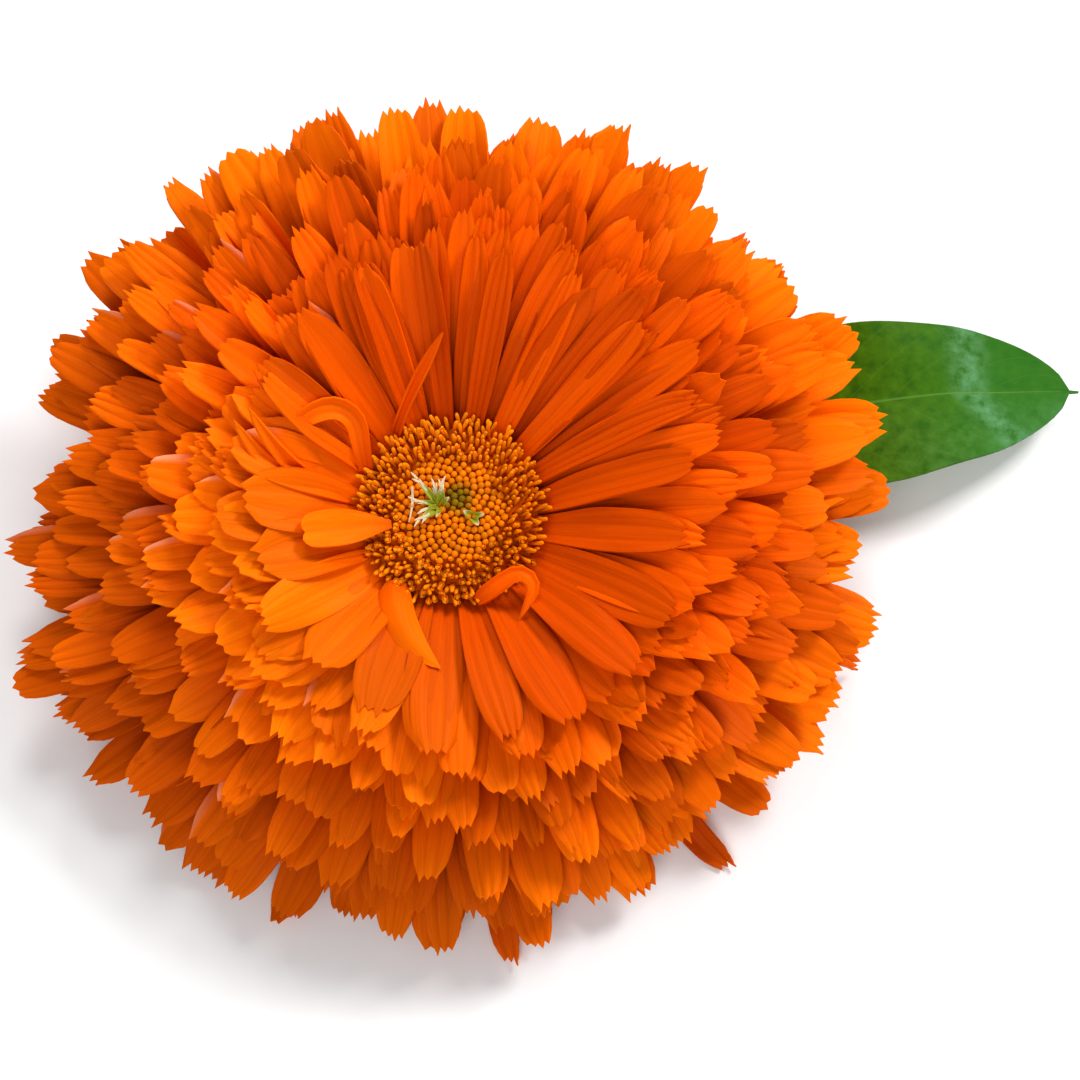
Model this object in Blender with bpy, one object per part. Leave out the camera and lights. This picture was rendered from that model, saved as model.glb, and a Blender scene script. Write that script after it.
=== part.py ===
"""A picked double pot marigold, lying face up on a flat surface.

The head is built round its own upright axis and then leans forwards. It rests on its
bent stem at the back and on its oldest petals at the front. Metres, +Z up.
"""

import math

import bmesh
import bpy
from mathutils import Matrix, Vector

MM = 0.001
GAP = 0.3 * MM  # what pieces that touch keep between them
QUARTER_TURN = math.pi / 2.0

# Head: the flower's own frame has its origin where the disc meets the first petals.
HEAD_HEIGHT = 22.0 * MM  # that origin above the surface the flower lies on
HEAD_LEAN = math.radians(8.0)  # lean of the head's axis towards -Y

# Petal rows, from row 1 against the disc down to the last row above the bracts.
ROWS = 10
PETALS_PER_ROW = 21
ROW_PITCH = 1.15 * MM  # from one row's base down to the next
ROW_TWIST = math.radians(7.66)  # 21 golden angles, less whole turns
COLLAR_HEIGHT = ROW_PITCH - GAP  # the packed seed bases of one row
COLLAR_WIDTH = 0.7 * MM
COLLAR_SHARE = 0.8  # of the way round that is petal base
BASE_RADIUS = (8.6 * MM, 9.4 * MM)  # inner side of the first and the last row
PETAL_LENGTH = (17.5 * MM, 30.5 * MM)
PETAL_WIDTH = (5.6 * MM, 7.2 * MM)
PETAL_THICKNESS = 0.36 * MM
PETAL_RISE = (27.0, 2.0)  # mean angle above level, degrees
RISE_SWAY = (3.0, 11.0)  # added at the back and taken off at the front, degrees
LEFT_DROOP = (1.0, 6.0)  # taken off at the left, degrees
ARCH = (11.0, 13.0)  # the base rises and the tip falls by this, degrees
LEFT_SHORTENING = 0.22  # of the first row's length, fading out over the rows
LONG_SIDE = math.radians(120.0)  # petals on this side are longer, those opposite shorter
LENGTH_BIAS = 0.055
LENGTH_SCATTER = 0.04
RISE_SCATTER = 0.8  # degrees
LAYER = PETAL_THICKNESS + GAP  # from one petal lying on the surface to the next
STATIONS = (0.0, 0.3, 0.6, 0.86, 1.0)  # shares of a petal's length where it is shaped
TOOTHED_WIDTHS = (0.36, 0.66, 0.95, 1.0, 0.62)  # width there, as a share of the widest
POINTED_WIDTHS = (0.6, 1.0, 0.9, 0.55, 0.12)
ROOM = 0.9  # widest petal as a share of the pitch of its row
PATH_STEPS = 50

# The oldest petals hang under the last row and reach the surface.
OLD_PETALS = 11
OLD_PHASE = math.radians(15.0)
OLD_LENGTH = 31.5 * MM
OLD_WIDTH = 4.2 * MM
OLD_RISE = -9.0
OLD_SWAY = 9.0
OLD_ARCH = 15.0

# Petals at the disc's edge that grew out of line.
STRAY_RADIUS = 9.5 * MM
STRAY_HEIGHT = 1.3 * MM
STRAY_PETALS = {
    # azimuth it springs at, heading, turn of the heading, pitch at base and tip, length, width
    "upright_petal": (124, 58, 0, 56, 34, 11.5 * MM, 2.2 * MM),
    "hooked_petal": (144, 108, 100, 70, 10, 12.5 * MM, 3.0 * MM),
    "short_petal": (199, 190, 0, 56, 16, 7.5 * MM, 3.2 * MM),
    "folded_petal": (232, 252, 62, 58, 12, 10.5 * MM, 2.8 * MM),
    "curled_petal": (-50, 24, 0, 82, 212, 13.5 * MM, 2.4 * MM),
    "narrow_petal_1": (160, 153, 0, 50, 24, 13.0 * MM, 1.9 * MM),
    "narrow_petal_2": (173, 165, 0, 46, 26, 13.5 * MM, 1.9 * MM),
}

# Disc: rings of packed florets on the crown of the receptacle, from the middle out.
DISC_EDGES = (0.0, 2.6 * MM, 4.5 * MM, 6.5 * MM, 8.4 * MM)
DISC_TOP = (2.7 * MM, 0.9 * MM)  # florets' tops above the head's origin, middle and edge
FLORET_PITCH = 1.9 * MM
FLORET_NOTCH = 0.5 * MM  # depth between the tops of two florets

# Green tufts that grew among the middle florets, at their places on the disc.
TUFTS = {"green_tuft_left": (-1.6 * MM, -0.1 * MM), "green_tuft_right": (2.2 * MM, -1.6 * MM)}
TUFT_RADIUS = 1.1 * MM
TUFT_HEIGHT = 1.3 * MM
TUFT_POINTS = 5
TUFT_NOTCH = 0.45  # radius between two points, as a share of the radius at them

# Receptacle: the crown, the side that the rows grow from and the green base.
CROWN_TOP = (1.1 * MM, -0.3 * MM)  # middle and shoulder, above the head's origin
RECEPTACLE_FOOT = 2.9 * MM
RECEPTACLE_BOTTOM = -16.3 * MM
RECEPTACLE_SIDES = 28

# Bracts: rows after the old petals, with a radius at the collar and a rise in degrees.
BRACTS_PER_ROW = 16
BRACT_WIDTH = 2.4 * MM
BRACT_ARCH = 9.0
BRACT_SWAY = 9.0
BRACT_ROWS = {
    "inner_bracts": {"radius": 8.2 * MM, "length": 13.0 * MM, "rise": -12.0, "phase": 0.0},
    "outer_bracts": {"radius": 7.0 * MM, "length": 11.0 * MM, "rise": -20.0, "phase": 0.5},
}

# Stem: bends back under the head, then lies along the surface to the back right.
STEM_RADIUS = 2.0 * MM
STEM_HEADING = math.radians(55.0)
STEM_NECK = 0.6 * MM  # straight piece under the head, before the bend
STEM_RUN = 27.0 * MM
STEM_SWEEP = math.radians(9.0)
STEM_BEND_STEPS = 7
STEM_RUN_STEPS = 12

# Leaf: clasps the stem and arches out to the right.
LEAF_SEAT = 0.42  # where on the stem's run it sits
LEAF_LENGTH = 53.0 * MM
LEAF_WIDTH = 16.4 * MM
LEAF_BASE_WIDTH = 2.8 * MM
LEAF_TIP_WIDTH = 0.5 * MM
LEAF_THICKNESS = 0.4 * MM
LEAF_HEADING = (math.radians(18.5), math.radians(1.0))
LEAF_PITCH = (math.radians(14.0), math.radians(-12.0))
LEAF_KEEL = 1.0 * MM  # depth of the midrib below the leaf's edges
LEAF_STEPS = 16
LEAF_COLUMNS = 6


def mix(pair, share):
    """Value between the first and the last of a pair."""
    return pair[0] + (pair[1] - pair[0]) * share


def wobble(row, index, kind):
    """Fixed scatter from -1 to 1 for one petal and one kind of change."""
    spread = math.sin(row * 12.9898 + index * 78.233 + kind * 37.719) * 43758.5453
    return 2.0 * (spread - math.floor(spread)) - 1.0


def around(azimuth, radius, height):
    """Point at an azimuth and radius from the head's axis."""
    return Vector((radius * math.cos(azimuth), radius * math.sin(azimuth), height))


# Materials and objects


def colour(name, rgb, roughness):
    """A matt or waxy plant surface."""
    material = bpy.data.materials.new(name)
    material.use_nodes = True
    shader = material.node_tree.nodes["Principled BSDF"]
    shader.inputs["Base Color"].default_value = (*rgb, 1.0)
    shader.inputs["Roughness"].default_value = roughness
    shader.inputs["Metallic"].default_value = 0.0
    return material


def add_node(name, data, material, parent):
    node = bpy.data.objects.new(name, data)
    node.data.materials.append(material)
    node.parent = parent
    bpy.context.scene.collection.objects.link(node)
    return node


def add_empty(name, parent, matrix):
    empty = bpy.data.objects.new(name, None)
    empty.parent = parent
    empty.matrix_local = matrix
    bpy.context.scene.collection.objects.link(empty)
    return empty


def mesh_of(shape, name):
    """Mesh of a bmesh, its faces pointing out and its round stretches smooth."""
    bmesh.ops.recalc_face_normals(shape, faces=shape.faces[:])
    mesh = bpy.data.meshes.new(name)
    shape.to_mesh(mesh)
    shape.free()
    mesh.shade_smooth()
    mesh.set_sharp_from_angle(angle=math.radians(40.0))
    return mesh


# Blades: petals and bracts, drawn out section by section along an arching path


def head_matrix():
    return Matrix.Translation((0.0, 0.0, HEAD_HEIGHT)) @ Matrix.Rotation(HEAD_LEAN, 4, "X")


def kept_above(point, height):
    """A point of the head, lifted where it would lie lower than height over the surface."""
    world = head_matrix() @ point
    world.z = max(world.z, height)
    return head_matrix().inverted() @ world


def blade_path(blade):
    """Middle point, sideways and upward direction at each station of a blade."""
    frames = []
    point = Vector(blade["base"])
    for step in range(PATH_STEPS + 1):
        share = step / PATH_STEPS
        heading = blade["heading"] + blade.get("turn", 0.0) * share
        pitch = mix(blade["pitch"], share)
        along = around(heading, math.cos(pitch), math.sin(pitch))
        side = around(heading + QUARTER_TURN, 1.0, 0.0)
        frames.append((point.copy(), side, along.cross(side)))
        point += along * blade["length"] / PATH_STEPS
    return [frames[round(share * PATH_STEPS)] for share in STATIONS]


def blade_sections(blade):
    """The four corners of a blade's cross-section at each station, from base to tip."""
    sections = []
    lowest = blade["clearance"]
    for (point, side, up), share in zip(blade_path(blade), blade["widths"]):
        width = blade["width"] * share
        if "neighbours" in blade:
            room = 2.0 * math.pi * math.hypot(point.x, point.y) / blade["neighbours"] * ROOM
            width = min(width, room)
        half = side * width / 2.0
        lift = up * PETAL_THICKNESS / 2.0
        sections.append((
            kept_above(point - half - lift, lowest),
            kept_above(point - half + lift, lowest + PETAL_THICKNESS),
            kept_above(point + half + lift, lowest + PETAL_THICKNESS),
            kept_above(point + half - lift, lowest),
        ))
    return sections


def draw_out(shape, face, sections):
    """Extrudes a face through the sections, corner to corner."""
    for corners in sections:
        face = bmesh.ops.extrude_discrete_faces(shape, faces=[face])["faces"][0]
        for vertex, corner in zip(face.verts, corners):
            vertex.co = corner


def single_blade(name, blade):
    """A petal on its own, from its closed base section to its tip."""
    sections = blade_sections(blade)
    shape = bmesh.new()
    base = [shape.verts.new(corner) for corner in sections[0]]
    draw_out(shape, shape.faces.new(base), sections[1:])
    shape.faces.new(base)
    return mesh_of(shape, name)


def whorl(name, blades, radius, top):
    """A row of blades on the ring of their packed bases."""
    reach = math.pi / len(blades) * COLLAR_SHARE
    outer = radius + COLLAR_WIDTH
    bottom = top - COLLAR_HEIGHT
    shape = bmesh.new()
    posts = []
    for blade in blades:
        for azimuth in (blade["heading"] - reach, blade["heading"] + reach):
            corners = (
                around(azimuth, radius, top),
                around(azimuth, radius, bottom),
                around(azimuth, outer, bottom),
                around(azimuth, outer, top),
            )
            posts.append([shape.verts.new(corner) for corner in corners])
    outer_faces = []
    for post, following in zip(posts, posts[1:] + posts[:1]):
        for a, b in ((0, 1), (1, 2), (3, 0)):
            shape.faces.new((post[a], post[b], following[b], following[a]))
        outer_faces.append(shape.faces.new((post[2], post[3], following[3], following[2])))
    for blade, base in zip(blades, outer_faces[::2]):
        draw_out(shape, base, blade_sections(blade)[1:])
    return mesh_of(shape, name)


def row_top(row):
    """Height where a row's packed bases begin; the old petals and bracts are further rows."""
    return -ROW_PITCH * (row - 1)


# Petals


def row_share(row):
    return (row - 1) / (ROWS - 1)


def row_petal(row, index):
    """One petal of a row: where it springs, how long it is and how it arches."""
    share = row_share(row)
    azimuth = 2.0 * math.pi * index / PETALS_PER_ROW + row * ROW_TWIST
    left = max(0.0, -math.cos(azimuth))
    rise = mix(PETAL_RISE, share) + mix(RISE_SWAY, share) * math.sin(azimuth)
    rise += RISE_SCATTER * wobble(row, index, 1) - mix(LEFT_DROOP, share) * left
    arch = mix(ARCH, share)
    length = mix(PETAL_LENGTH, share) * (1.0 + LENGTH_SCATTER * wobble(row, index, 2))
    length *= 1.0 - LEFT_SHORTENING * left * (1.0 - share)
    length *= 1.0 + LENGTH_BIAS * math.cos(azimuth - LONG_SIDE)
    radius = mix(BASE_RADIUS, share) + COLLAR_WIDTH
    return {
        "base": around(azimuth, radius, row_top(row) - COLLAR_HEIGHT / 2.0),
        "heading": azimuth,
        "pitch": (math.radians(rise + arch), math.radians(rise - arch)),
        "length": length,
        "width": mix(PETAL_WIDTH, share),
        "widths": TOOTHED_WIDTHS,
        "neighbours": PETALS_PER_ROW,
        "clearance": LAYER * (ROWS + 1 - row),
    }


def add_first_row(head, material):
    """Row 1, against the disc: each petal is its own piece, seated on the receptacle."""
    for index in range(PETALS_PER_ROW):
        petal = row_petal(1, index)
        petal["base"] = around(petal["heading"], BASE_RADIUS[0], petal["base"].z)
        name = f"inner_petal_{index + 1:02d}"
        add_node(name, single_blade(name, petal), material, head)


def add_rows(head, material):
    """Rows 2 to the last, each one piece joined at its packed bases."""
    for row in range(2, ROWS + 1):
        name = f"petal_row_{row:02d}"
        petals = [row_petal(row, index) for index in range(PETALS_PER_ROW)]
        mesh = whorl(name, petals, mix(BASE_RADIUS, row_share(row)), row_top(row))
        add_node(name, mesh, material, head)


def add_old_petals(head, material):
    """The narrow first petals to open, which hang below the rest down to the surface."""
    for index in range(OLD_PETALS):
        azimuth = OLD_PHASE + 2.0 * math.pi * index / OLD_PETALS
        rise = OLD_RISE + OLD_SWAY * math.sin(azimuth) + RISE_SCATTER * wobble(0, index, 1)
        petal = {
            "base": around(azimuth, BASE_RADIUS[1], row_top(ROWS + 1) - COLLAR_HEIGHT / 2.0),
            "heading": azimuth,
            "pitch": (math.radians(rise + OLD_ARCH), math.radians(rise - OLD_ARCH)),
            "length": OLD_LENGTH * (1.0 + LENGTH_SCATTER * wobble(0, index, 2)),
            "width": OLD_WIDTH,
            "widths": TOOTHED_WIDTHS,
            "clearance": 0.0,
        }
        name = f"old_petal_{index + 1:02d}"
        add_node(name, single_blade(name, petal), material, head)


def add_stray_petals(head, material):
    """Narrow, hooked, folded and curled petals on top of row 1."""
    for name, (azimuth, heading, turn, rise, fall, length, width) in STRAY_PETALS.items():
        petal = {
            "base": around(math.radians(azimuth), STRAY_RADIUS, STRAY_HEIGHT),
            "heading": math.radians(heading),
            "turn": math.radians(turn),
            "pitch": (math.radians(rise), math.radians(fall)),
            "length": length,
            "width": width,
            "widths": POINTED_WIDTHS,
            "clearance": 0.0,
        }
        add_node(name, single_blade(name, petal), material, head)


# Disc and receptacle


def dome(pair, radius):
    """Height at a radius of a dome between its middle and its edge height."""
    return mix(pair, (radius / DISC_EDGES[-1]) ** 2)


def floret_ring(name, inner, outer):
    """A ring of packed florets, notched between one floret's top and the next."""
    count = 2 * round(math.pi * (inner + outer) / FLORET_PITCH)
    inside = inner + GAP / 2.0
    outside = outer - GAP / 2.0
    shape = bmesh.new()
    posts = []
    for step in range(count):
        azimuth = 2.0 * math.pi * step / count
        notch = FLORET_NOTCH * (step % 2)
        corners = (
            around(azimuth, inside, dome(DISC_TOP, inside) - notch),
            around(azimuth, inside, dome(CROWN_TOP, inside) + GAP),
            around(azimuth, outside, dome(CROWN_TOP, outside) + GAP),
            around(azimuth, outside, dome(DISC_TOP, outside) - notch),
        )
        posts.append([shape.verts.new(corner) for corner in corners])
    for post, following in zip(posts, posts[1:] + posts[:1]):
        for a, b in ((0, 1), (1, 2), (2, 3), (3, 0)):
            shape.faces.new((post[a], post[b], following[b], following[a]))
    return mesh_of(shape, name)


def floret_cap(name, outer):
    """The middle florets: a notched round cap."""
    count = 2 * round(math.pi * outer / FLORET_PITCH)
    outside = outer - GAP / 2.0
    shape = bmesh.new()
    top = []
    bottom = []
    for step in range(count):
        azimuth = 2.0 * math.pi * step / count
        notch = FLORET_NOTCH * (step % 2)
        top.append(shape.verts.new(around(azimuth, outside, dome(DISC_TOP, outside) - notch)))
        bottom.append(shape.verts.new(around(azimuth, outside, dome(CROWN_TOP, outside) + GAP)))
    summit = shape.verts.new((0.0, 0.0, DISC_TOP[0]))
    root = shape.verts.new((0.0, 0.0, CROWN_TOP[0] + GAP))
    for step in range(count):
        after = (step + 1) % count
        shape.faces.new((top[step], top[after], summit))
        shape.faces.new((bottom[after], bottom[step], root))
        shape.faces.new((bottom[step], bottom[after], top[after], top[step]))
    return mesh_of(shape, name)


def add_disc(head, material):
    edges = list(zip(DISC_EDGES, DISC_EDGES[1:]))
    add_node("disc_middle", floret_cap("disc_middle", edges[0][1]), material, head)
    for number, (inner, outer) in enumerate(edges[1:], start=1):
        name = f"disc_ring_{number}"
        add_node(name, floret_ring(name, inner, outer), material, head)


def add_tufts(head, material):
    """Small green stars of leafy scales among the middle florets."""
    for name, (x, y) in TUFTS.items():
        seat = DISC_TOP[0] + GAP
        shape = bmesh.new()
        rim = []
        for step in range(2 * TUFT_POINTS):
            radius = TUFT_RADIUS * (1.0 if step % 2 else TUFT_NOTCH)
            azimuth = math.pi * step / TUFT_POINTS
            rim.append(shape.verts.new(Vector((x, y, seat)) + around(azimuth, radius, 0.0)))
        shape.faces.new(rim)
        summit = shape.verts.new((x, y, seat + TUFT_HEIGHT))
        for vertex, following in zip(rim, rim[1:] + rim[:1]):
            shape.faces.new((vertex, following, summit))
        add_node(name, mesh_of(shape, name), material, head)


def add_receptacle(head, material):
    """The flower's core, turned: domed crown, side and the taper down to the stem."""
    shoulder = BASE_RADIUS[0] - GAP
    profile = [(0.0, CROWN_TOP[0]), (shoulder / 2.0, dome(CROWN_TOP, shoulder / 2.0))]
    profile += [(shoulder, dome(CROWN_TOP, shoulder))]
    radius = BASE_RADIUS[1]
    for step, bracts in enumerate(BRACT_ROWS.values()):
        ledge = row_top(ROWS + 2 + step) + GAP
        profile += [(radius - GAP, ledge), (bracts["radius"] - GAP, ledge)]
        radius = bracts["radius"]
    profile += [(radius - GAP, row_top(ROWS + 2 + len(BRACT_ROWS)) + GAP)]
    profile += [(RECEPTACLE_FOOT, RECEPTACLE_BOTTOM), (0.0, RECEPTACLE_BOTTOM)]
    shape = bmesh.new()
    points = [shape.verts.new((radius, 0.0, height)) for radius, height in profile]
    edges = [shape.edges.new(pair) for pair in zip(points, points[1:])]
    bmesh.ops.spin(
        shape, geom=points + edges, cent=(0.0, 0.0, 0.0), axis=(0.0, 0.0, 1.0),
        angle=2.0 * math.pi, steps=RECEPTACLE_SIDES, use_merge=True,
    )
    bmesh.ops.remove_doubles(shape, verts=shape.verts[:], dist=0.01 * MM)
    add_node("receptacle", mesh_of(shape, "receptacle"), material, head)


def add_bracts(head, material):
    for step, (name, row) in enumerate(BRACT_ROWS.items()):
        top = row_top(ROWS + 2 + step)
        blades = []
        for index in range(BRACTS_PER_ROW):
            azimuth = 2.0 * math.pi * (index + row["phase"]) / BRACTS_PER_ROW
            rise = row["rise"] + BRACT_SWAY * math.sin(azimuth)
            blades.append({
                "base": around(azimuth, row["radius"] + COLLAR_WIDTH, top - COLLAR_HEIGHT / 2.0),
                "heading": azimuth,
                "pitch": (math.radians(rise + BRACT_ARCH), math.radians(rise - BRACT_ARCH)),
                "length": row["length"],
                "width": BRACT_WIDTH,
                "widths": POINTED_WIDTHS,
                "neighbours": BRACTS_PER_ROW,
                "clearance": 0.0,
            })
        add_node(name, whorl(name, blades, row["radius"], top), material, head)


# Stem and leaf, on the surface that the flower lies on


def stem_path():
    """Middle line of the stem, from under the head round its bend and along the surface."""
    tilt = QUARTER_TURN - HEAD_LEAN
    seat = RECEPTACLE_BOTTOM - GAP
    points = [head_matrix() @ Vector((0.0, 0.0, height)) for height in (seat, seat - STEM_NECK)]
    bend_radius = (points[-1].z - STEM_RADIUS) / (1.0 - math.cos(tilt))
    for step in range(STEM_BEND_STEPS):
        pitch = -tilt * (1.0 - (step + 0.5) / STEM_BEND_STEPS)
        stride = bend_radius * tilt / STEM_BEND_STEPS
        points.append(points[-1] + around(STEM_HEADING, math.cos(pitch), math.sin(pitch)) * stride)
    for step in range(STEM_RUN_STEPS):
        heading = STEM_HEADING + STEM_SWEEP * (step + 0.5) / STEM_RUN_STEPS
        points.append(points[-1] + around(heading, STEM_RUN / STEM_RUN_STEPS, 0.0))
    return points


def add_stem(flower, material):
    curve = bpy.data.curves.new("stem", "CURVE")
    curve.dimensions = "3D"
    curve.bevel_depth = STEM_RADIUS
    curve.bevel_resolution = 3
    curve.use_fill_caps = True
    points = stem_path()
    spline = curve.splines.new("POLY")
    spline.points.add(len(points) - 1)
    for knot, point in zip(spline.points, points):
        knot.co = (*point, 1.0)
    add_node("stem", curve, material, flower)


def leaf_outline(share):
    """Width of the leaf along its length: broad clasping base, long pointed tip."""
    swell = math.sin(math.pi * share**1.25) ** 0.6 if share < 1.0 else 0.0
    return max(LEAF_TIP_WIDTH, LEAF_BASE_WIDTH * (1.0 - share) ** 3 + LEAF_WIDTH * swell)


def add_leaf(flower, material):
    """A sheet along its arched midrib, both halves tilted up from it, given its thickness."""
    seat = stem_path()[STEM_BEND_STEPS + round(LEAF_SEAT * STEM_RUN_STEPS)]
    seat += around(STEM_HEADING - QUARTER_TURN, STEM_RADIUS + GAP + LEAF_BASE_WIDTH / 2.0, 0.0)
    columns = range(LEAF_COLUMNS + 1)
    shape = bmesh.new()
    rows = []
    point = seat.copy()
    for step in range(LEAF_STEPS + 1):
        share = step / LEAF_STEPS
        heading = mix(LEAF_HEADING, share)
        pitch = mix(LEAF_PITCH, share)
        side = around(heading + QUARTER_TURN, 1.0, 0.0)
        row = []
        for column in columns:
            across = 2.0 * column / LEAF_COLUMNS - 1.0
            rise = LEAF_KEEL * abs(across) * leaf_outline(share) / LEAF_WIDTH
            place = point + side * across * leaf_outline(share) / 2.0
            row.append(shape.verts.new((place.x, place.y, place.z + rise)))
        rows.append(row)
        point += around(heading, math.cos(pitch), math.sin(pitch)) * LEAF_LENGTH / LEAF_STEPS
    for row, following in zip(rows, rows[1:]):
        for column in columns[:-1]:
            shape.faces.new((row[column], following[column], following[column + 1], row[column + 1]))
    leaf = add_node("leaf", mesh_of(shape, "leaf"), material, flower)
    wall = leaf.modifiers.new("Thickness", "SOLIDIFY")
    wall.thickness = LEAF_THICKNESS
    wall.offset = 0.0


# The whole flower


def centre_on_surface(flower):
    """Moves the flower so that its box is centred on the origin and stands on z = 0."""
    bpy.context.view_layer.update()
    depsgraph = bpy.context.evaluated_depsgraph_get()
    corners = []
    for item in bpy.data.objects:
        if item.type != "EMPTY":
            evaluated = item.evaluated_get(depsgraph)
            mesh = evaluated.to_mesh()
            corners += [item.matrix_world @ vertex.co for vertex in mesh.vertices]
            evaluated.to_mesh_clear()
    low = [min(corner[axis] for corner in corners) for axis in range(3)]
    high = [max(corner[axis] for corner in corners) for axis in range(3)]
    flower.location = (-(low[0] + high[0]) / 2.0, -(low[1] + high[1]) / 2.0, -low[2])


def main():
    for item in list(bpy.data.objects):
        bpy.data.objects.remove(item)
    flower = add_empty("flower", None, Matrix.Identity(4))
    head = add_empty("head", flower, head_matrix())
    petal = colour("petal_orange", (0.86, 0.13, 0.005), 0.5)
    old_petal = colour("old_petal_red", (0.45, 0.05, 0.005), 0.6)
    floret = colour("floret_orange", (0.6, 0.12, 0.01), 0.6)
    tuft = colour("tuft_green", (0.25, 0.33, 0.05), 0.6)
    green = colour("bract_green", (0.09, 0.17, 0.03), 0.6)
    core = colour("receptacle_green", (0.3, 0.34, 0.1), 0.7)
    leaf = colour("leaf_green", (0.07, 0.19, 0.03), 0.4)
    add_first_row(head, petal)
    add_rows(head, petal)
    add_stray_petals(head, petal)
    add_old_petals(head, old_petal)
    add_disc(head, floret)
    add_tufts(head, tuft)
    add_receptacle(head, core)
    add_bracts(head, green)
    add_stem(flower, green)
    add_leaf(flower, leaf)
    centre_on_surface(flower)


main()
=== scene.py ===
"""The looks of a picked double pot marigold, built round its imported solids.

The head's pieces are modelled flat or upright at their real size, copied, and laid along
the paths on which they grow. Metres, +Z up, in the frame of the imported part.
"""

import math
from functools import partial
from math import cos, pi, radians, sin

import bmesh
import bpy
from mathutils import Matrix, Vector


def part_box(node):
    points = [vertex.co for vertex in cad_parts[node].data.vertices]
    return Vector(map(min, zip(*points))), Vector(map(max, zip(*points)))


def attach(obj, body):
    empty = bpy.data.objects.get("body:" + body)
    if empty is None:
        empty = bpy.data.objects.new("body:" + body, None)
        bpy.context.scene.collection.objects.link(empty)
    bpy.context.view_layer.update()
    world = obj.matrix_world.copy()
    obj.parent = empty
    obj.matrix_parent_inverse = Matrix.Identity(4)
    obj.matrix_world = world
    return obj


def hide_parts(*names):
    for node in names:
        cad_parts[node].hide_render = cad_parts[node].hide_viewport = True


bl_info = {
    "name": "Double pot marigold",
    "version": (1, 0, 0),
    "blender": (4, 5, 0),
    "location": "View3D > Sidebar > Marigold",
    "description": "Builds the petals, disc, bracts, stem and leaf of a picked marigold",
    "category": "Object",
}

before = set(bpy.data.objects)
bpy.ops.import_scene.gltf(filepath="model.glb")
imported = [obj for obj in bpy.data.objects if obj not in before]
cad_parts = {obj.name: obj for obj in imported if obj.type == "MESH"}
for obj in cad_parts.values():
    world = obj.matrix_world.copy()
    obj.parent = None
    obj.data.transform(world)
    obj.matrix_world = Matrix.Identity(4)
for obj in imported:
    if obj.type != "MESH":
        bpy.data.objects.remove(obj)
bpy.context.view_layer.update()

MM = 0.001
QUARTER_TURN = pi / 2.0
GOLDEN_ANGLE = pi * (3.0 - math.sqrt(5.0))

# Head: its origin is where the disc meets the first petals.
HEAD_LEAN = radians(8.0)
HEAD_HEIGHT = 22.0 * MM
WAIST_RADIUS = 9.1 * MM  # the receptacle at its widest, and how far that lies below the origin
WAIST_DEPTH = 12.35 * MM

# Petal rows. A pair holds the value for the first and for the last row; rises and arches are
# in degrees.
ROWS = 10
PETALS_PER_ROW = 21
ROW_PITCH = 1.15 * MM
ROW_TWIST = radians(7.66)
BASE_RADIUS = (8.6 * MM, 9.4 * MM)
BASE_DEPTH = 0.425 * MM  # middle of a row's bases below its upper edge
SEAT = 0.35 * MM  # from the inner side of a base to where its petal springs
TUCK = 0.9 * MM  # how far the first petals reach under the outermost florets
PETAL_LENGTH = (17.5 * MM, 30.5 * MM)
PETAL_RISE = (27.0, 2.0)
RISE_SWAY = (3.0, 11.0)
LEFT_DROOP = (1.0, 6.0)
ARCH = (11.0, 13.0)
TIP_LIFT = radians(14.0)  # by which tips on the left and in front turn up
LEFT_SHORTENING = 0.29
FRONT_SHORTENING = 0.05
UNDER = (0.33, 0.67)  # where between two rows further petals grow
UNDER_UP_TO = 0.4  # such a petal is there where a scatter from -1 to 1 is less than this
UNDER_SHIFT = radians(7.0)
FULL_ROW = 8  # from here on they all are
LAST_LENGTH = 0.88  # share that the petals under the last row keep of their length
LONG_SIDE = radians(120.0)  # where the petals are longest, and by how much
LENGTH_BIAS = 0.055
# Painted light goes on the petals towards the sunny side: brighter tips and tones.
SUNNY_SIDE = radians(212.0)  # where the tips are brightest
SHADED_SIDE = radians(58.0)  # either side of the right, where shade is painted on the inner petals
LEFT_WIDENING = 0.34  # of the inner petals, by the side of the head on which they are
RIGHT_NARROWING = 0.06
FRONT_WIDENING = 0.06
BACK_NARROWING = (0.3, 0.02)
OUTER_NARROWING = 0.2
UNDER_NARROWING = 0.08
LAYER = 0.66 * MM  # from one petal lying on the surface to the next
RISE_SCATTER = (3.6, 3.0)  # to each side, from petal to petal
ARCH_SCATTER = 0.35
LENGTH_SCATTER = (0.07, 0.035)
WIDTH_SCATTER = 0.16
PATH_STEPS = 30
LOWEST = 0.1 * MM  # of any sheet, before it gets its thickness
OUTGROWN = (
    (15.0, 0.14), (54.0, -0.05), (69.0, 0.09), (82.0, -0.10), (118.0, 0.06), (136.0, 0.05),
    (151.0, 0.09), (163.0, -0.05), (201.0, 0.10), (240.0, 0.07), (256.0, -0.05),
    (306.0, -0.10), (340.0, 0.05),
)
OUTGROWN_REACH = 13.0  # degrees to each side over which such petals are longer

# The oldest petals, under the rest
OLD_PETALS = 11
OLD_PHASE = radians(15.0)
OLD_LENGTH = 32.3 * MM
OLD_WIDTH = 3.6 * MM
OLD_RISE = -9.0
OLD_SWAY = 9.0
OLD_ARCH = 15.0

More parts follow.
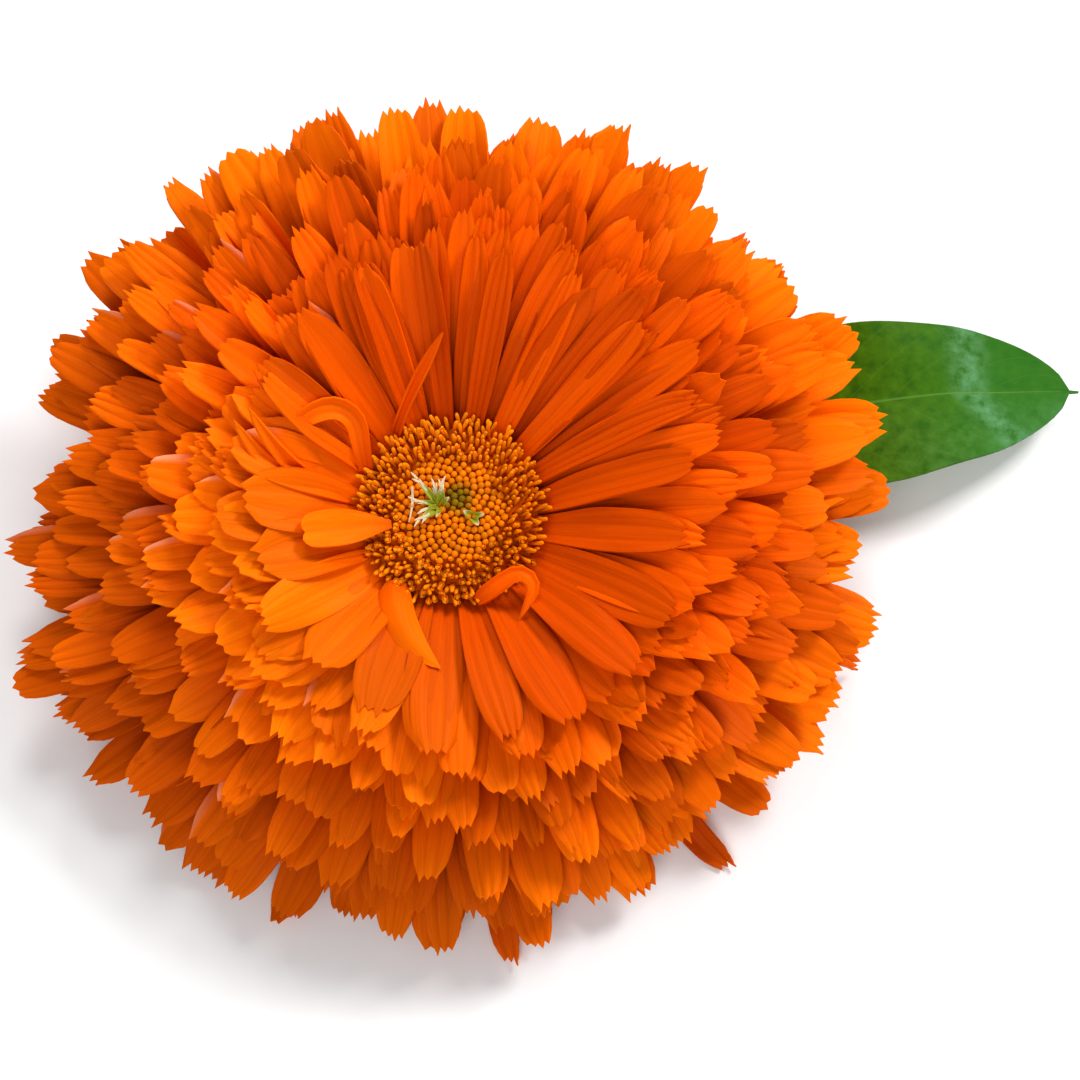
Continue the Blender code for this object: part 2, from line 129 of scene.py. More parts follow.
# Petals at the disc's edge that grew out of line
STRAYS = {
    # azimuth, radius, height, length, width, arc across, twist, blank, and its course as
    # steps of share along it, heading and pitch
    "upright": (124, 9.0, 1.0, 11.8, 1.5, (1.9, 1.4), 0, "pointed",
                ((0.0, 62, 52), (1.0, 56, 34))),
    "hooked": (153, 8.8, 1.0, 12.2, 2.4, (0.6, 1.1), -46, "toothed",
               ((0.0, 100, 44), (0.3, 100, 26), (0.64, 194, 10), (1.0, 236, -34))),
    "short": (196, 5.6, 2.6, 8.6, 3.7, (0.4, 0.5), 0, "notched",
              ((0.0, 186, 18), (1.0, 192, 14))),
    "folded": (233, 8.2, 1.3, 10.4, 3.1, (-0.9, -1.1), 0, "pointed",
               ((0.0, 262, 34), (0.4, 292, 14), (1.0, 326, -4))),
    "curled": (-74, 8.8, 1.5, 9.9, 1.5, (0.5, 0.9), -20, "pointed",
               ((0.0, 34, 28), (0.4, 28, 18), (0.72, -112, -16), (1.0, -124, -24))),
    "narrow_1": (171, 11.5, 0.6, 11.6, 1.8, (1.0, 1.8), 0, "pointed",
                 ((0.0, 156, 40), (0.5, 136, 36), (1.0, 118, 24))),
    "narrow_2": (175, 12.5, 0.8, 11.2, 1.8, (1.0, 1.7), 0, "pointed",
                 ((0.0, 158, 36), (0.5, 138, 32), (1.0, 122, 22))),
}

# Disc
DISC_EDGES = (0.0, 2.6 * MM, 4.5 * MM, 6.5 * MM, 8.4 * MM)  # of its middle and its rings
DISC_TOP = (2.7 * MM, 0.9 * MM)  # above the head's origin, in its middle and at its edge
SEED_BED = 7.95 * MM  # radius within which the florets spring
BUD_ZONE = 4.7 * MM  # radius within which the florets are still closed
BUDS = 192
BED_DEPTH = 0.8 * MM  # of the bed between the florets
BED_RINGS = 8
BUD_ZONE_SCATTER = 0.3 * MM
BUD_LEAN = 12.0  # degrees outwards, at the edge
BUD_SINK = 4.2  # in radii of a bud
FINGER_HEIGHT = 2.0 * MM
FINGER_SINK = 1.3 * MM
FINGER_LEAN = (6.0, 44.0)  # degrees outwards in the middle, and what the edge adds
STAR_HEIGHT = 1.5 * MM
STAR_SINK = 1.1 * MM
STAR_LEAN = (4.0, 36.0)
UNRIPE_PLACE = Vector((0.6 * MM, 0.9 * MM, 0.0))
UNRIPE_REACH = 1.7 * MM

# Green tufts: seat on the disc and, for each scale, its heading, length, width and rise
TUFTS = {
    "green_tuft_left": (
        (-0.9, 0.2),
        ((137, 3.2, 0.6, 30), (172, 2.2, 0.5, 34), (196, 1.6, 0.4, 44), (222, 2.4, 0.8, 34),
         (86, 2.1, 0.8, 52), (112, 1.8, 0.6, 44), (40, 1.3, 0.5, 58), (258, 1.4, 0.5, 50)),
    ),
    "green_tuft_right": (
        (2.0, -0.8),
        ((153, 1.0, 0.7, 50), (8, 1.1, 0.6, 42), (300, 1.1, 0.7, 44)),
    ),
}
HAIRS = 4  # on each scale longer than this many millimetres
HAIRY_LENGTH = 1.5
LOOSE_BRISTLE = {"place": (-3.5, 2.0), "heading": 276.0, "turn": -22.0, "length": 3.4}

# Bracts
BRACTS_PER_ROW = 16
BRACT_WIDTH = 2.6 * MM
BRACT_ARCH = 9.0
BRACT_SWAY = 9.0
BRACT_ROWS = {
    # row of the head, radius where it springs, length, rise, and turn as a share of a place
    "inner_bracts": (12, 8.2 * MM, 13.0 * MM, -12.0, 0.0),
    "outer_bracts": (13, 7.0 * MM, 11.0 * MM, -20.0, 0.5),
}

# Stem: a straight neck, the bend under the head and the run along the surface
RECEPTACLE_BOTTOM = -16.3 * MM
STEM_RADIUS = 2.0 * MM
STEM_HEADING = radians(55.0)
STEM_NECK = 0.6 * MM
STEM_RUN = 27.0 * MM
STEM_SWEEP = radians(9.0)
STEM_SIDES = 32
STEM_RIBS = 8
STEM_RINGS = 40
STEM_CUT = ((0.25, 0.15 * MM), (0.3, 0.25 * MM))  # rim as a share of the radius, and depth

# Leaf
LEAF_SEAT = 1.0 / 3.0  # where on the stem's run it sits
LEAF_GAP = 0.3 * MM
LEAF_LENGTH = 53.0 * MM
LEAF_WIDTH = 16.4 * MM
LEAF_BASE_WIDTH = 2.8 * MM
LEAF_TIP_WIDTH = 0.3 * MM
LEAF_HEADING = (radians(17.6), radians(2.6))
LEAF_PITCH = (radians(15.0), radians(-10.0))
LEAF_STEP = (0.79, 0.04, radians(12.0))  # where, how broad and how steep
LEAF_MUCRO = 0.982  # from here on it is only the fine point
LEAF_KEEL = 1.0 * MM
LEAF_HALVES = ((1.0, 0.97), (-1.0, 1.04))  # side of the midrib, and how broad
LEAF_RINGS = 56
LEAF_COLUMNS = 20

# Stage
FLOOR_SIZE = 4.0
AIM = (8.19 * MM, -2.39 * MM)  # of the camera, to the right of and above the head

# Lights: azimuth and height in degrees, distance and size in metres, share of the power
LIGHTS = {
    "key_light": (38.0, 43.0, 0.75, 0.2, 1.0),
    "back_light": (95.0, 52.0, 0.75, 0.25, 0.52),
    "front_light": (262.0, 48.0, 0.75, 0.4, 0.54),
}

# Blank petals: length and width at which they are modelled
BLANK_LENGTH = 20.0 * MM
BLANK_WIDTH = 6.0 * MM
RINGS = 15
COLUMNS_PER_TOOTH = 4
WIDEST = 0.66
FLAT_ROOT = 0.35  # share of the length over which the ribs rise
TOOTH_HOLD = (1.0, 0.5, 0.15)  # share of the teeth's depth in the last rings

# Teeth, depth of the notches, how round the lobes are and the width at the tip, per blank
PETAL_BLANKS = (
    (3, 1.1, 0.85, 0.54),
    (4, 0.85, 0.9, 0.62),
    (2, 1.1, 0.9, 0.44),
    (4, 1.0, 0.85, 0.58),
    (3, 1.3, 0.85, 0.5),
    (3, 0.7, 0.95, 0.6),
)

# Kinds of scatter, each with a pattern of its own
RISE, LENGTH, HEADING, TURN, CURL, ARCHING, TROUGH, ROLL = range(1, 9)
TWIST, WIDTH, RUFFLE, PHASE, RELIEF, TONE, BLANK, SHIFT = range(9, 17)
PALE = 18
ZONE, STYLE, LEAN, SIZE, SPIN, SHADE = range(20, 26)
SCALE_SHADE, SCALE_TURN, HAIR_HEADING, HAIR_RISE = range(31, 35)
UNDER_CHANCE = 40

# What a vertex of a laid sheet says to its material where its growth leaves it out
MARKS = {"tone": 0.5, "age": 0.0, "pale": 0.0, "root": 0.3, "bright": 0.3, "spread": 0.7}

BLACK = (0.0, 0.0, 0.0, 1.0)
WHITE = (1.0, 1.0, 1.0, 1.0)
USED_OUTPUTS = {"Attribute": "Fac", "Mix": 2, "TexCoord": "Object"}  # where not the first


def mix(pair, share):
    """Value between the first and the last of a pair."""
    return pair[0] + (pair[1] - pair[0]) * share


def wobble(row, index, kind):
    """Fixed scatter from -1 to 1 for one petal or floret and one kind of change."""
    spread = sin(row * 12.9898 + index * 78.233 + kind * 37.719) * 43758.5453
    return 2.0 * (spread - math.floor(spread)) - 1.0


def around(azimuth, radius, height):
    """Point at an azimuth and radius from the axis."""
    return Vector((radius * cos(azimuth), radius * sin(azimuth), height))


def head_frame():
    """Place and lean of the flower head, from where its receptacle lies."""
    low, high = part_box("receptacle")
    reach = cos(HEAD_LEAN) * WAIST_RADIUS + sin(HEAD_LEAN) * WAIST_DEPTH
    origin = Vector(((low.x + high.x) / 2.0, high.y - reach, HEAD_HEIGHT))
    return Matrix.Translation(origin) @ Matrix.Rotation(HEAD_LEAN, 4, "X")


HEAD = head_frame()


# Colours and nodes


def linear(code):
    """Linear colour of an sRGB hex value."""
    values = [int(code[start : start + 2], 16) / 255.0 for start in (1, 3, 5)]
    channels = [v / 12.92 if v <= 0.04045 else ((v + 0.055) / 1.055) ** 2.4 for v in values]
    return (*channels, 1.0)


def colour_setting(name, description, code):
    """A colour that a user may change."""
    return bpy.props.FloatVectorProperty(
        name=name, description=description, subtype="COLOR",
        size=4, min=0.0, max=1.0, default=linear(code),
    )


def length_setting(name, description, default):
    """A real size that a user may change."""
    return bpy.props.FloatProperty(
        name=name, description=description, subtype="DISTANCE", unit="LENGTH",
        min=0.0, precision=5, default=default,
    )


def connect(node, inputs):
    """Gives each input of a node its value, or links it to the output of another node."""
    for socket, value in inputs.items():
        if isinstance(value, bpy.types.NodeSocket):
            node.id_data.links.new(value, node.inputs[socket])
        else:
            node.inputs[socket].default_value = value


def add_node(tree, kind, inputs=None, stops=(), **settings):
    """Adds a node and returns the output that is used of it; stops are a colour ramp's. Mix
    has its share at input 0 and its colours at 6 and 7. Map Range has its value at 0, then
    the two ends of what comes in, and at 3 and 4 those of what goes out."""
    made = tree.nodes.new(f"ShaderNode{kind}")
    for name, value in settings.items():
        setattr(made, name, value)
    connect(made, inputs or {})
    if stops:
        ramp = made.color_ramp.elements
        while len(ramp) < len(stops):
            ramp.new(0.5)
        for element, (place, colour) in zip(ramp, stops):
            element.position = place
            element.color = colour
    return made.outputs[USED_OUTPUTS.get(kind, 0)]


def new_material(name):
    """An empty node material, its shader and the function that adds a node to it."""
    material = bpy.data.materials.new(name)
    material.use_nodes = True
    tree = material.node_tree
    return material, tree.nodes["Principled BSDF"], partial(add_node, tree)


# What a user may change


class PetalSettings(bpy.types.PropertyGroup):
    """Ray petals."""

    inner_width: length_setting("Inner width", "Widest place of an inner petal", 4.3 * MM)
    outer_width: length_setting("Outer width", "Widest place of an outer petal", 5.5 * MM)
    thickness: length_setting("Thickness", "Thickness of a petal", 0.22 * MM)
    tooth: length_setting("Tooth", "Depth of the notches between the teeth", 1.15 * MM)
    rib: length_setting("Rib", "Height of the lengthwise ribs", 0.16 * MM)
    vein_spacing: length_setting("Vein spacing", "Between two fine veins", 0.3 * MM)
    inner: colour_setting("Inner petals", "Freshly opened petals", "#fa5e00")
    middle: colour_setting("Middle petals", "Petals halfway out", "#f85a00")
    outer: colour_setting("Outer petals", "Petals that opened first", "#ff7000")
    # The base colour is painted shade where a petal springs under the others; the tip colour is painted
    # light towards the ends.
    base: colour_setting("Base", "Where a petal springs", "#a62a00")
    tip: colour_setting("Tips", "Towards the teeth", "#ff7c04")
    # This colour is a painted highlight, pale along one edge of a few tips.
    painted_sheen: colour_setting("Sheen", "Pale bloom towards some tips", "#ffb894")
    old: colour_setting("Old petals", "Reddish petals under the rest", "#d6520a")


class DiscSettings(bpy.types.PropertyGroup):
    """Disc florets and the green tufts among them."""

    florets: bpy.props.IntProperty(
        name="Florets", description="Florets on the disc", default=760, min=250, max=900,
    )
    bud: length_setting("Bud", "Radius of a closed floret", 0.33 * MM)
    bud_colour: colour_setting("Buds", "Closed florets", "#e57a00")
    floret_colour: colour_setting("Florets", "Open florets", "#ff9710")
    # The floret base colour is painted shade, down between the florets, on the bed and on the
    # receptacle's crown.
    shade_colour: colour_setting("Floret base", "Between the florets", "#c25004")
    unripe_colour: colour_setting("Unripe buds", "Closed florets round the tufts", "#566006")
    tuft_colour: colour_setting("Tufts", "Small green scales", "#a2a416")
    bristle_colour: colour_setting("Bristles", "Tips of the green scales", "#efe2b8")


class GreenSettings(bpy.types.PropertyGroup):
    """Leaf, stem, bracts and receptacle."""

    leaf_colour: colour_setting("Leaf", "Upper side of the leaf", "#416002")
    vein_colour: colour_setting("Veins", "Veins of the leaf", "#5a8a34")
    stem_colour: colour_setting("Stem", "Stem and bracts", "#6f8a3a")
    pith_colour: colour_setting("Pith", "Cut end and receptacle", "#c9cf9a")
    bract_tip_colour: colour_setting("Bract tips", "Dry tips of the bracts", "#7c4a2a")


class StageSettings(bpy.types.PropertyGroup):
    """Floor, lights and camera."""

    elevation: bpy.props.FloatProperty(
        name="Elevation", description="Camera above the horizon", subtype="ANGLE",
        default=radians(70.0),
    )
    lens: bpy.props.FloatProperty(
        name="Lens", description="Focal length in millimetres", default=120.0, min=20.0,
    )
    distance: length_setting("Distance", "From the camera to the head", 331.2 * MM)
    key_power: bpy.props.FloatProperty(
        name="Key light", description="Power of the large soft light", subtype="POWER",
        default=3.92, min=0.0,
    )
    sky: bpy.props.FloatProperty(
        name="Sky", description="Strength of the light from all round", default=0.35, min=0.0,
    )
    floor_colour: colour_setting("Floor", "The plain floor", "#ffffff")


# Modelling by hand


def clear_selection():
    if bpy.context.mode != "OBJECT":
        bpy.ops.object.mode_set(mode="OBJECT")
    bpy.ops.object.select_all(action="DESELECT")


def select_only(pieces):
    clear_selection()
    for piece in pieces:
        piece.select_set(True)
    bpy.context.view_layer.objects.active = pieces[0]


def edit(piece):
    """Enters edit mode on one piece, with nothing selected in it."""
    select_only([piece])
    bpy.ops.object.mode_set(mode="EDIT")
    bpy.ops.mesh.select_mode(type="VERT")
    bpy.ops.mesh.select_all(action="DESELECT")


def pick(piece, test):
    """Selects the vertices whose place passes the test, and nothing else."""
    bpy.ops.mesh.select_all(action="DESELECT")
    shape = bmesh.from_edit_mesh(piece.data)
    for vertex in shape.verts:
        if test(vertex.co):
            vertex.select_set(True)
    shape.select_flush(True)
    bmesh.update_edit_mesh(piece.data)


def shift(x, y, z):
    """Moves what is selected."""
    bpy.ops.transform.translate(value=(x, y, z))


def scale(x, y, z):
    """Scales what is selected about the origin."""
    bpy.ops.transform.resize(value=(x, y, z), center_override=(0.0, 0.0, 0.0))


def extrude(x, y, z):
    """Draws out what is selected."""
    bpy.ops.mesh.extrude_region_move(TRANSFORM_OT_translate={"value": (x, y, z)})


def near(value, wanted):
    """Whether two places along an axis are the same, within a thousandth of a millimetre."""
    return abs(value - wanted) < 1.0e-6


def new_blank(name, rings, columns):
    """A flat grid from its base at the origin towards +X."""
    clear_selection()
    bpy.ops.mesh.primitive_grid_add(x_subdivisions=rings, y_subdivisions=columns, size=1.0)
    piece = bpy.context.active_object
    piece.name = name
    edit(piece)
    bpy.ops.mesh.select_all(action="SELECT")
    shift(0.5, 0.0, 0.0)
    scale(BLANK_LENGTH, BLANK_WIDTH, 1.0)
    return piece


def lift_columns(piece, columns, height_at):
    """Lifts each column of a flat blank by its place across, from 0 to 1."""
    for column in range(columns + 1):
        y = BLANK_WIDTH * column / columns - BLANK_WIDTH / 2.0
        pick(piece, lambda place: near(place.y, y))
        shift(0.0, 0.0, height_at(column / columns))


def size_rings(piece, rings, size_at):
    """Gives each ring of a blank its width and relief, by its share of the length."""
    for ring in range(rings + 1):
        x = BLANK_LENGTH * ring / rings
        pick(piece, lambda place: near(place.x, x))
        scale(1.0, *size_at(ring / rings))


def remove(blanks):
    """Takes away the blanks once their copies are laid."""
    for blank in blanks:
        mesh = blank.data
        bpy.data.objects.remove(blank)
        bpy.data.meshes.remove(mesh)


# Petal blanks


def petal_outline(share, base, tip):
    """Width of a petal as a share of its widest place, which is two thirds along it."""
    if share < WIDEST:
        return base + (1.0 - base) * sin(QUARTER_TURN * share / WIDEST) ** 1.15
    return 1.0 - (1.0 - tip) * ((share - WIDEST) / (1.0 - WIDEST)) ** 2.0


def scale_outline(share):
    """Width of a pointed blade, which is broadest a third of the way along it."""
    swell = 0.95 * sin(pi * share**0.8) ** 0.8 * (1.0 - 0.1 * share)
    return 0.55 * (1.0 - share) ** 2 + swell + 0.03


def tooth_reach(across, teeth, depth, roundness):
    """How far a petal's tip falls short at one place across: uneven teeth on a round end."""
    place = min(int(across * teeth), teeth - 1)
    from_tip = abs(2.0 * (across * teeth - place) - 1.0)
    shoulder = (2.0 * across - 1.0) ** 2
    uneven = 0.35 * (1.0 + wobble(teeth, place, roundness)) * (1.0 - from_tip)
    return depth * (from_tip**roundness + uneven + 0.4 * shoulder)


def new_petal_blank(name, rib, teeth, depth, roundness, tip, base=0.56):
    """A flat petal with lengthwise ribs and a toothed tip, modelled from a grid."""
    columns = teeth * COLUMNS_PER_TOOTH
    piece = new_blank(name, RINGS, columns)
    lift_columns(piece, columns, lambda across: -rib / 2.0 * cos(teeth * 2.0 * pi * across))
    size_rings(
        piece, RINGS,
        lambda share: (petal_outline(share, base, tip), min(1.0, share / FLAT_ROOT) ** 0.7),
    )
    shape = bmesh.from_edit_mesh(piece.data)
    for back, hold in enumerate(TOOTH_HOLD):
        x = BLANK_LENGTH * (1.0 - back / RINGS)
        ring = sorted((v for v in shape.verts if near(v.co.x, x)), key=lambda v: v.co.y)
        for column, vertex in enumerate(ring):
            vertex.co.x -= hold * tooth_reach(column / columns, teeth, depth, roundness)
    bmesh.update_edit_mesh(piece.data)
    bpy.ops.object.mode_set(mode="OBJECT")
    mark(piece.data, "lobes", teeth)
    return piece


def new_pointed_blank(name, rings, columns, rib=0.0, keel=0.0):
    """A flat pointed blade with a fold or ribs along it, modelled from a grid."""
    piece = new_blank(name, rings, columns)
    lift_columns(
        piece, columns,
        lambda across: rib / 2.0 * cos(4.0 * pi * (across - 0.5)) + keel * abs(2.0 * across - 1.0),
    )
    size_rings(piece, rings, lambda share: (scale_outline(share), scale_outline(share)))
    bpy.ops.object.mode_set(mode="OBJECT")
    return piece


# Growth: blanks laid along their paths


def between(knots, share):
    """Heading and pitch at a share of a path that is given as steps, in degrees."""
    for first, last in zip(knots, knots[1:]):
        if share <= last[0]:
            part = (share - first[0]) / (last[0] - first[0])
            return [radians(mix(pair, part)) for pair in zip(first[1:], last[1:])]
    return [radians(value) for value in knots[-1][1:]]


def path_frames(growth, place):
    """Point, sideways and upward direction at even steps along a path."""
    frames = []
    point = Vector(growth["base"])
    turned = place.to_3x3()
    for step in range(PATH_STEPS + 1):
        share = step / PATH_STEPS
        if "course" in growth:
            heading, pitch = growth["course"](share)
        elif "knots" in growth:
            heading, pitch = between(growth["knots"], share)
        else:
            late = max(0.0, share - 0.7) / 0.3
            heading = growth["heading"] + growth.get("turn", 0.0) * share
            pitch = mix(growth["pitch"], share) + growth.get("curl", 0.0) * late**2
        along = around(heading, cos(pitch), sin(pitch))
        roll = growth.get("roll", 0.0) + growth.get("twist", 0.0) * share
        side = Matrix.Rotation(roll, 3, along) @ around(heading + QUARTER_TURN, 1.0, 0.0)
        spot = place @ point
        spot.z = max(spot.z, growth.get("clearance", 0.0))
        frames.append((spot, turned @ side, turned @ along.cross(side)))
        point += along * growth["length"] / PATH_STEPS
    return frames


def frame_at(frames, share):
    """Point, side and up at any share of a path, going straight on past its end."""
    place = max(0.0, share) * PATH_STEPS
    step = min(int(place), PATH_STEPS - 1)
    rest = place - step
    pairs = zip(frames[step], frames[step + 1])
    if rest <= 1.0:
        return [first.lerp(last, rest) for first, last in pairs]
    return [last + (last - first) * (rest - 1.0) for first, last in pairs]


def share_along(x, growth):
    """Share of a path at a place along the blank. A petal's end keeps its real size."""
    behind = 1.0 - x / BLANK_LENGTH
    if growth.get("true_end"):
        behind *= (BLANK_LENGTH + (growth["length"] - BLANK_LENGTH) * behind) / growth["length"]
    return 1.0 - behind


def lay(mesh, growth, place=HEAD):
    """Bends a flat blank's mesh along its path, rolled across into an arc and ruffled."""
    frames = path_frames(growth, place)
    half = growth["width"] / 2.0
    widen = growth["width"] / BLANK_WIDTH
    waves, phase = growth.get("waves", 9.0), growth.get("phase", 0.0)
    for vertex in mesh.vertices:
        share = share_along(vertex.co.x, growth)
        across = vertex.co.y * widen
        bend = mix(growth.get("cup", (0.0, 0.0)), share)
        angle = bend * across / half
        lift = vertex.co.z * growth.get("relief", 1.0)
        if abs(bend) > 0.01:
            lift += half * (1.0 - cos(angle)) / bend
            across = half * sin(angle) / bend
        wave = sin(waves * share + phase + 2.0 * across / half)
        lift += growth.get("ruffle", 0.0) * wave * (across / half) ** 2
        point, side, up = frame_at(frames, share)
        vertex.co = point + side * across + up * lift
        vertex.co.z = max(vertex.co.z, LOWEST)
    mesh.update()


def mark(mesh, name, value):
    """Gives every vertex of a mesh the same value of an attribute that materials read."""
    layer = mesh.attributes.new(name, "FLOAT", "POINT")
    layer.data.foreach_set("value", [value] * len(mesh.vertices))


def laid_copy(blank, name, growth, place=HEAD):
    """A copy of a blank, with a mesh of its own, laid along its path."""
    piece = bpy.data.objects.new(name, blank.data.copy())
    bpy.context.scene.collection.objects.link(piece)
    lay(piece.data, growth, place)
    for attribute, usual in MARKS.items():
        mark(piece.data, attribute, growth.get(attribute, usual))
    return piece


def joined(pieces, name):
    """Makes one piece of several."""
    select_only(pieces)
    if len(pieces) > 1:
        bpy.ops.object.join()
    pieces[0].name = name
    return pieces[0]


def thicken(piece, thickness):
    """Turns a sheet into a closed thin solid."""
    select_only([piece])
    wall = piece.modifiers.new("Thickness", "SOLIDIFY")
    wall.thickness = thickness
    wall.offset = 0.0
    bpy.ops.object.modifier_apply(modifier=wall.name)


def finish_piece(piece, material, slot, nodes):
    """Smooths a piece, gives it its material, hangs it under the root and hides the nodes it stands
    for; the slot is not used.
    """
    select_only([piece])
    bpy.ops.object.shade_smooth_by_angle(angle=radians(50.0))
    if not piece.data.materials:
        piece.data.materials.append(material)
    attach(piece, "root")
    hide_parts(*nodes)


def finish_sheets(sheets, name, thickness, *finish):
    """Joins sheets, gives them their thickness and finishes them as one piece."""
    whole = joined(sheets, name)
    thicken(whole, thickness)
    finish_piece(whole, *finish)


# Petals


def petal_material(name, settings, ages):
    """Marigold ray petal: a thin sheet of velvety cells, so it is deep and even in colour,
    soft in its gloss, brightest where light comes through it; painted shade at its base and in
    its grooves, painted light towards its end, and a painted highlight on a few."""
    material, shader, add = new_material(name)
    uv = add("UVMap", uv_map="UVMap")
    along, across, _ = add("SeparateXYZ", {0: uv}).node.outputs
    marks = ("tone", "age", "root", "bright", "spread", "pale", "lobes")
    tone, age, root, bright, spread, pale, lobes = [
        add("Attribute", attribute_name=attribute) for attribute in marks
    ]
    streaks = BLANK_WIDTH / settings.vein_spacing
    drawn = add("Mapping", {0: uv, 3: (2.0, streaks, 1.0)})
    apart = add("Math", {0: tone, 1: 37.0}, operation="MULTIPLY")
    moved = add("CombineXYZ", {0: apart, 1: apart})
    shifted = add("VectorMath", {0: drawn, 1: moved}, operation="ADD")
    veins = add("TexNoise", {"Vector": shifted, "Scale": 1.0, "Detail": 3.0})
    # Painted shade: the deep base colour, out to the root share, where the petals above shade this one.
    to_root = add("Math", {0: root, 1: along}, operation="SUBTRACT")
    shaded = add("MapRange", {0: to_root, 2: 0.55}, interpolation_type="SMOOTHSTEP")
    # Painted light: the tip colour from the spread share on, as much as bright gives.
    end = add("MapRange", {0: along, 1: spread, 2: 1.0, 4: bright})
    # Painted highlight: a pale streak along one edge of the outer end, on petals marked pale.
    outward = add("MapRange", {0: along, 1: 0.72, 2: 0.95})
    sideways = add("MapRange", {0: across, 1: 0.22, 2: 0.08})
    painted_highlight = add("Math", {0: outward, 1: sideways}, operation="MULTIPLY")
    painted_sheen = add("Math", {0: painted_highlight, 1: pale}, operation="MULTIPLY")
    body = add("ValToRGB", {0: age}, stops=ages)
    for share, colour in ((shaded, settings.base), (end, settings.tip), (painted_sheen, settings.painted_sheen)):
        body = add("Mix", {0: share, 6: body, 7: colour}, data_type="RGBA")
    # Painted shade in the grooves between the lobes.
    turns = add("Math", {0: lobes, 1: across}, operation="MULTIPLY")
    circle = add("Math", {0: turns, 1: 2.0 * pi}, operation="MULTIPLY")
    wave = add("Math", {0: circle}, operation="COSINE")
    painted_groove_shade = add("MapRange", {0: wave, 1: 0.3, 2: 1.0, 3: 1.0, 4: 0.92})
    # Fine veins, then tone with its painted light and shade, then the painted shade in the grooves;
    # darker places come out redder.
    shade = add("MapRange", {0: veins, 1: 0.3, 2: 0.7, 3: 0.87, 4: 1.05})
    own = add("MapRange", {0: tone, 3: 0.7, 4: 1.16})
    for factor in (own, painted_groove_shade):
        shade = add("Math", {0: shade, 1: factor}, operation="MULTIPLY")
    redder = add("Math", {0: shade, 1: 1.4}, operation="POWER")
    scales = add("CombineXYZ", {0: shade, 1: redder, 2: redder})
    connect(shader, {
        "Base Color": add("VectorMath", {0: body, 1: scales}, operation="MULTIPLY"),
        "Normal": add("Bump", {"Height": veins, "Strength": 0.5, "Distance": 0.06 * MM}),
        "Roughness": 0.45,
        "IOR": 1.4,
        "Specular IOR Level": 0.025,
        "Subsurface Weight": 0.2,
        "Subsurface Radius": (1.0, 0.3, 0.05),
        "Subsurface Scale": 0.5 * MM,
    })
    return material


def outgrowth(azimuth):
    """Extra length of petals in the few directions where they outgrew the rest."""
    extra = 0.0
    for middle, amount in OUTGROWN:
        apart = (math.degrees(azimuth) - middle + 180.0) % 360.0 - 180.0
        extra += amount * max(0.0, 1.0 - abs(apart) / OUTGROWN_REACH)
    return extra


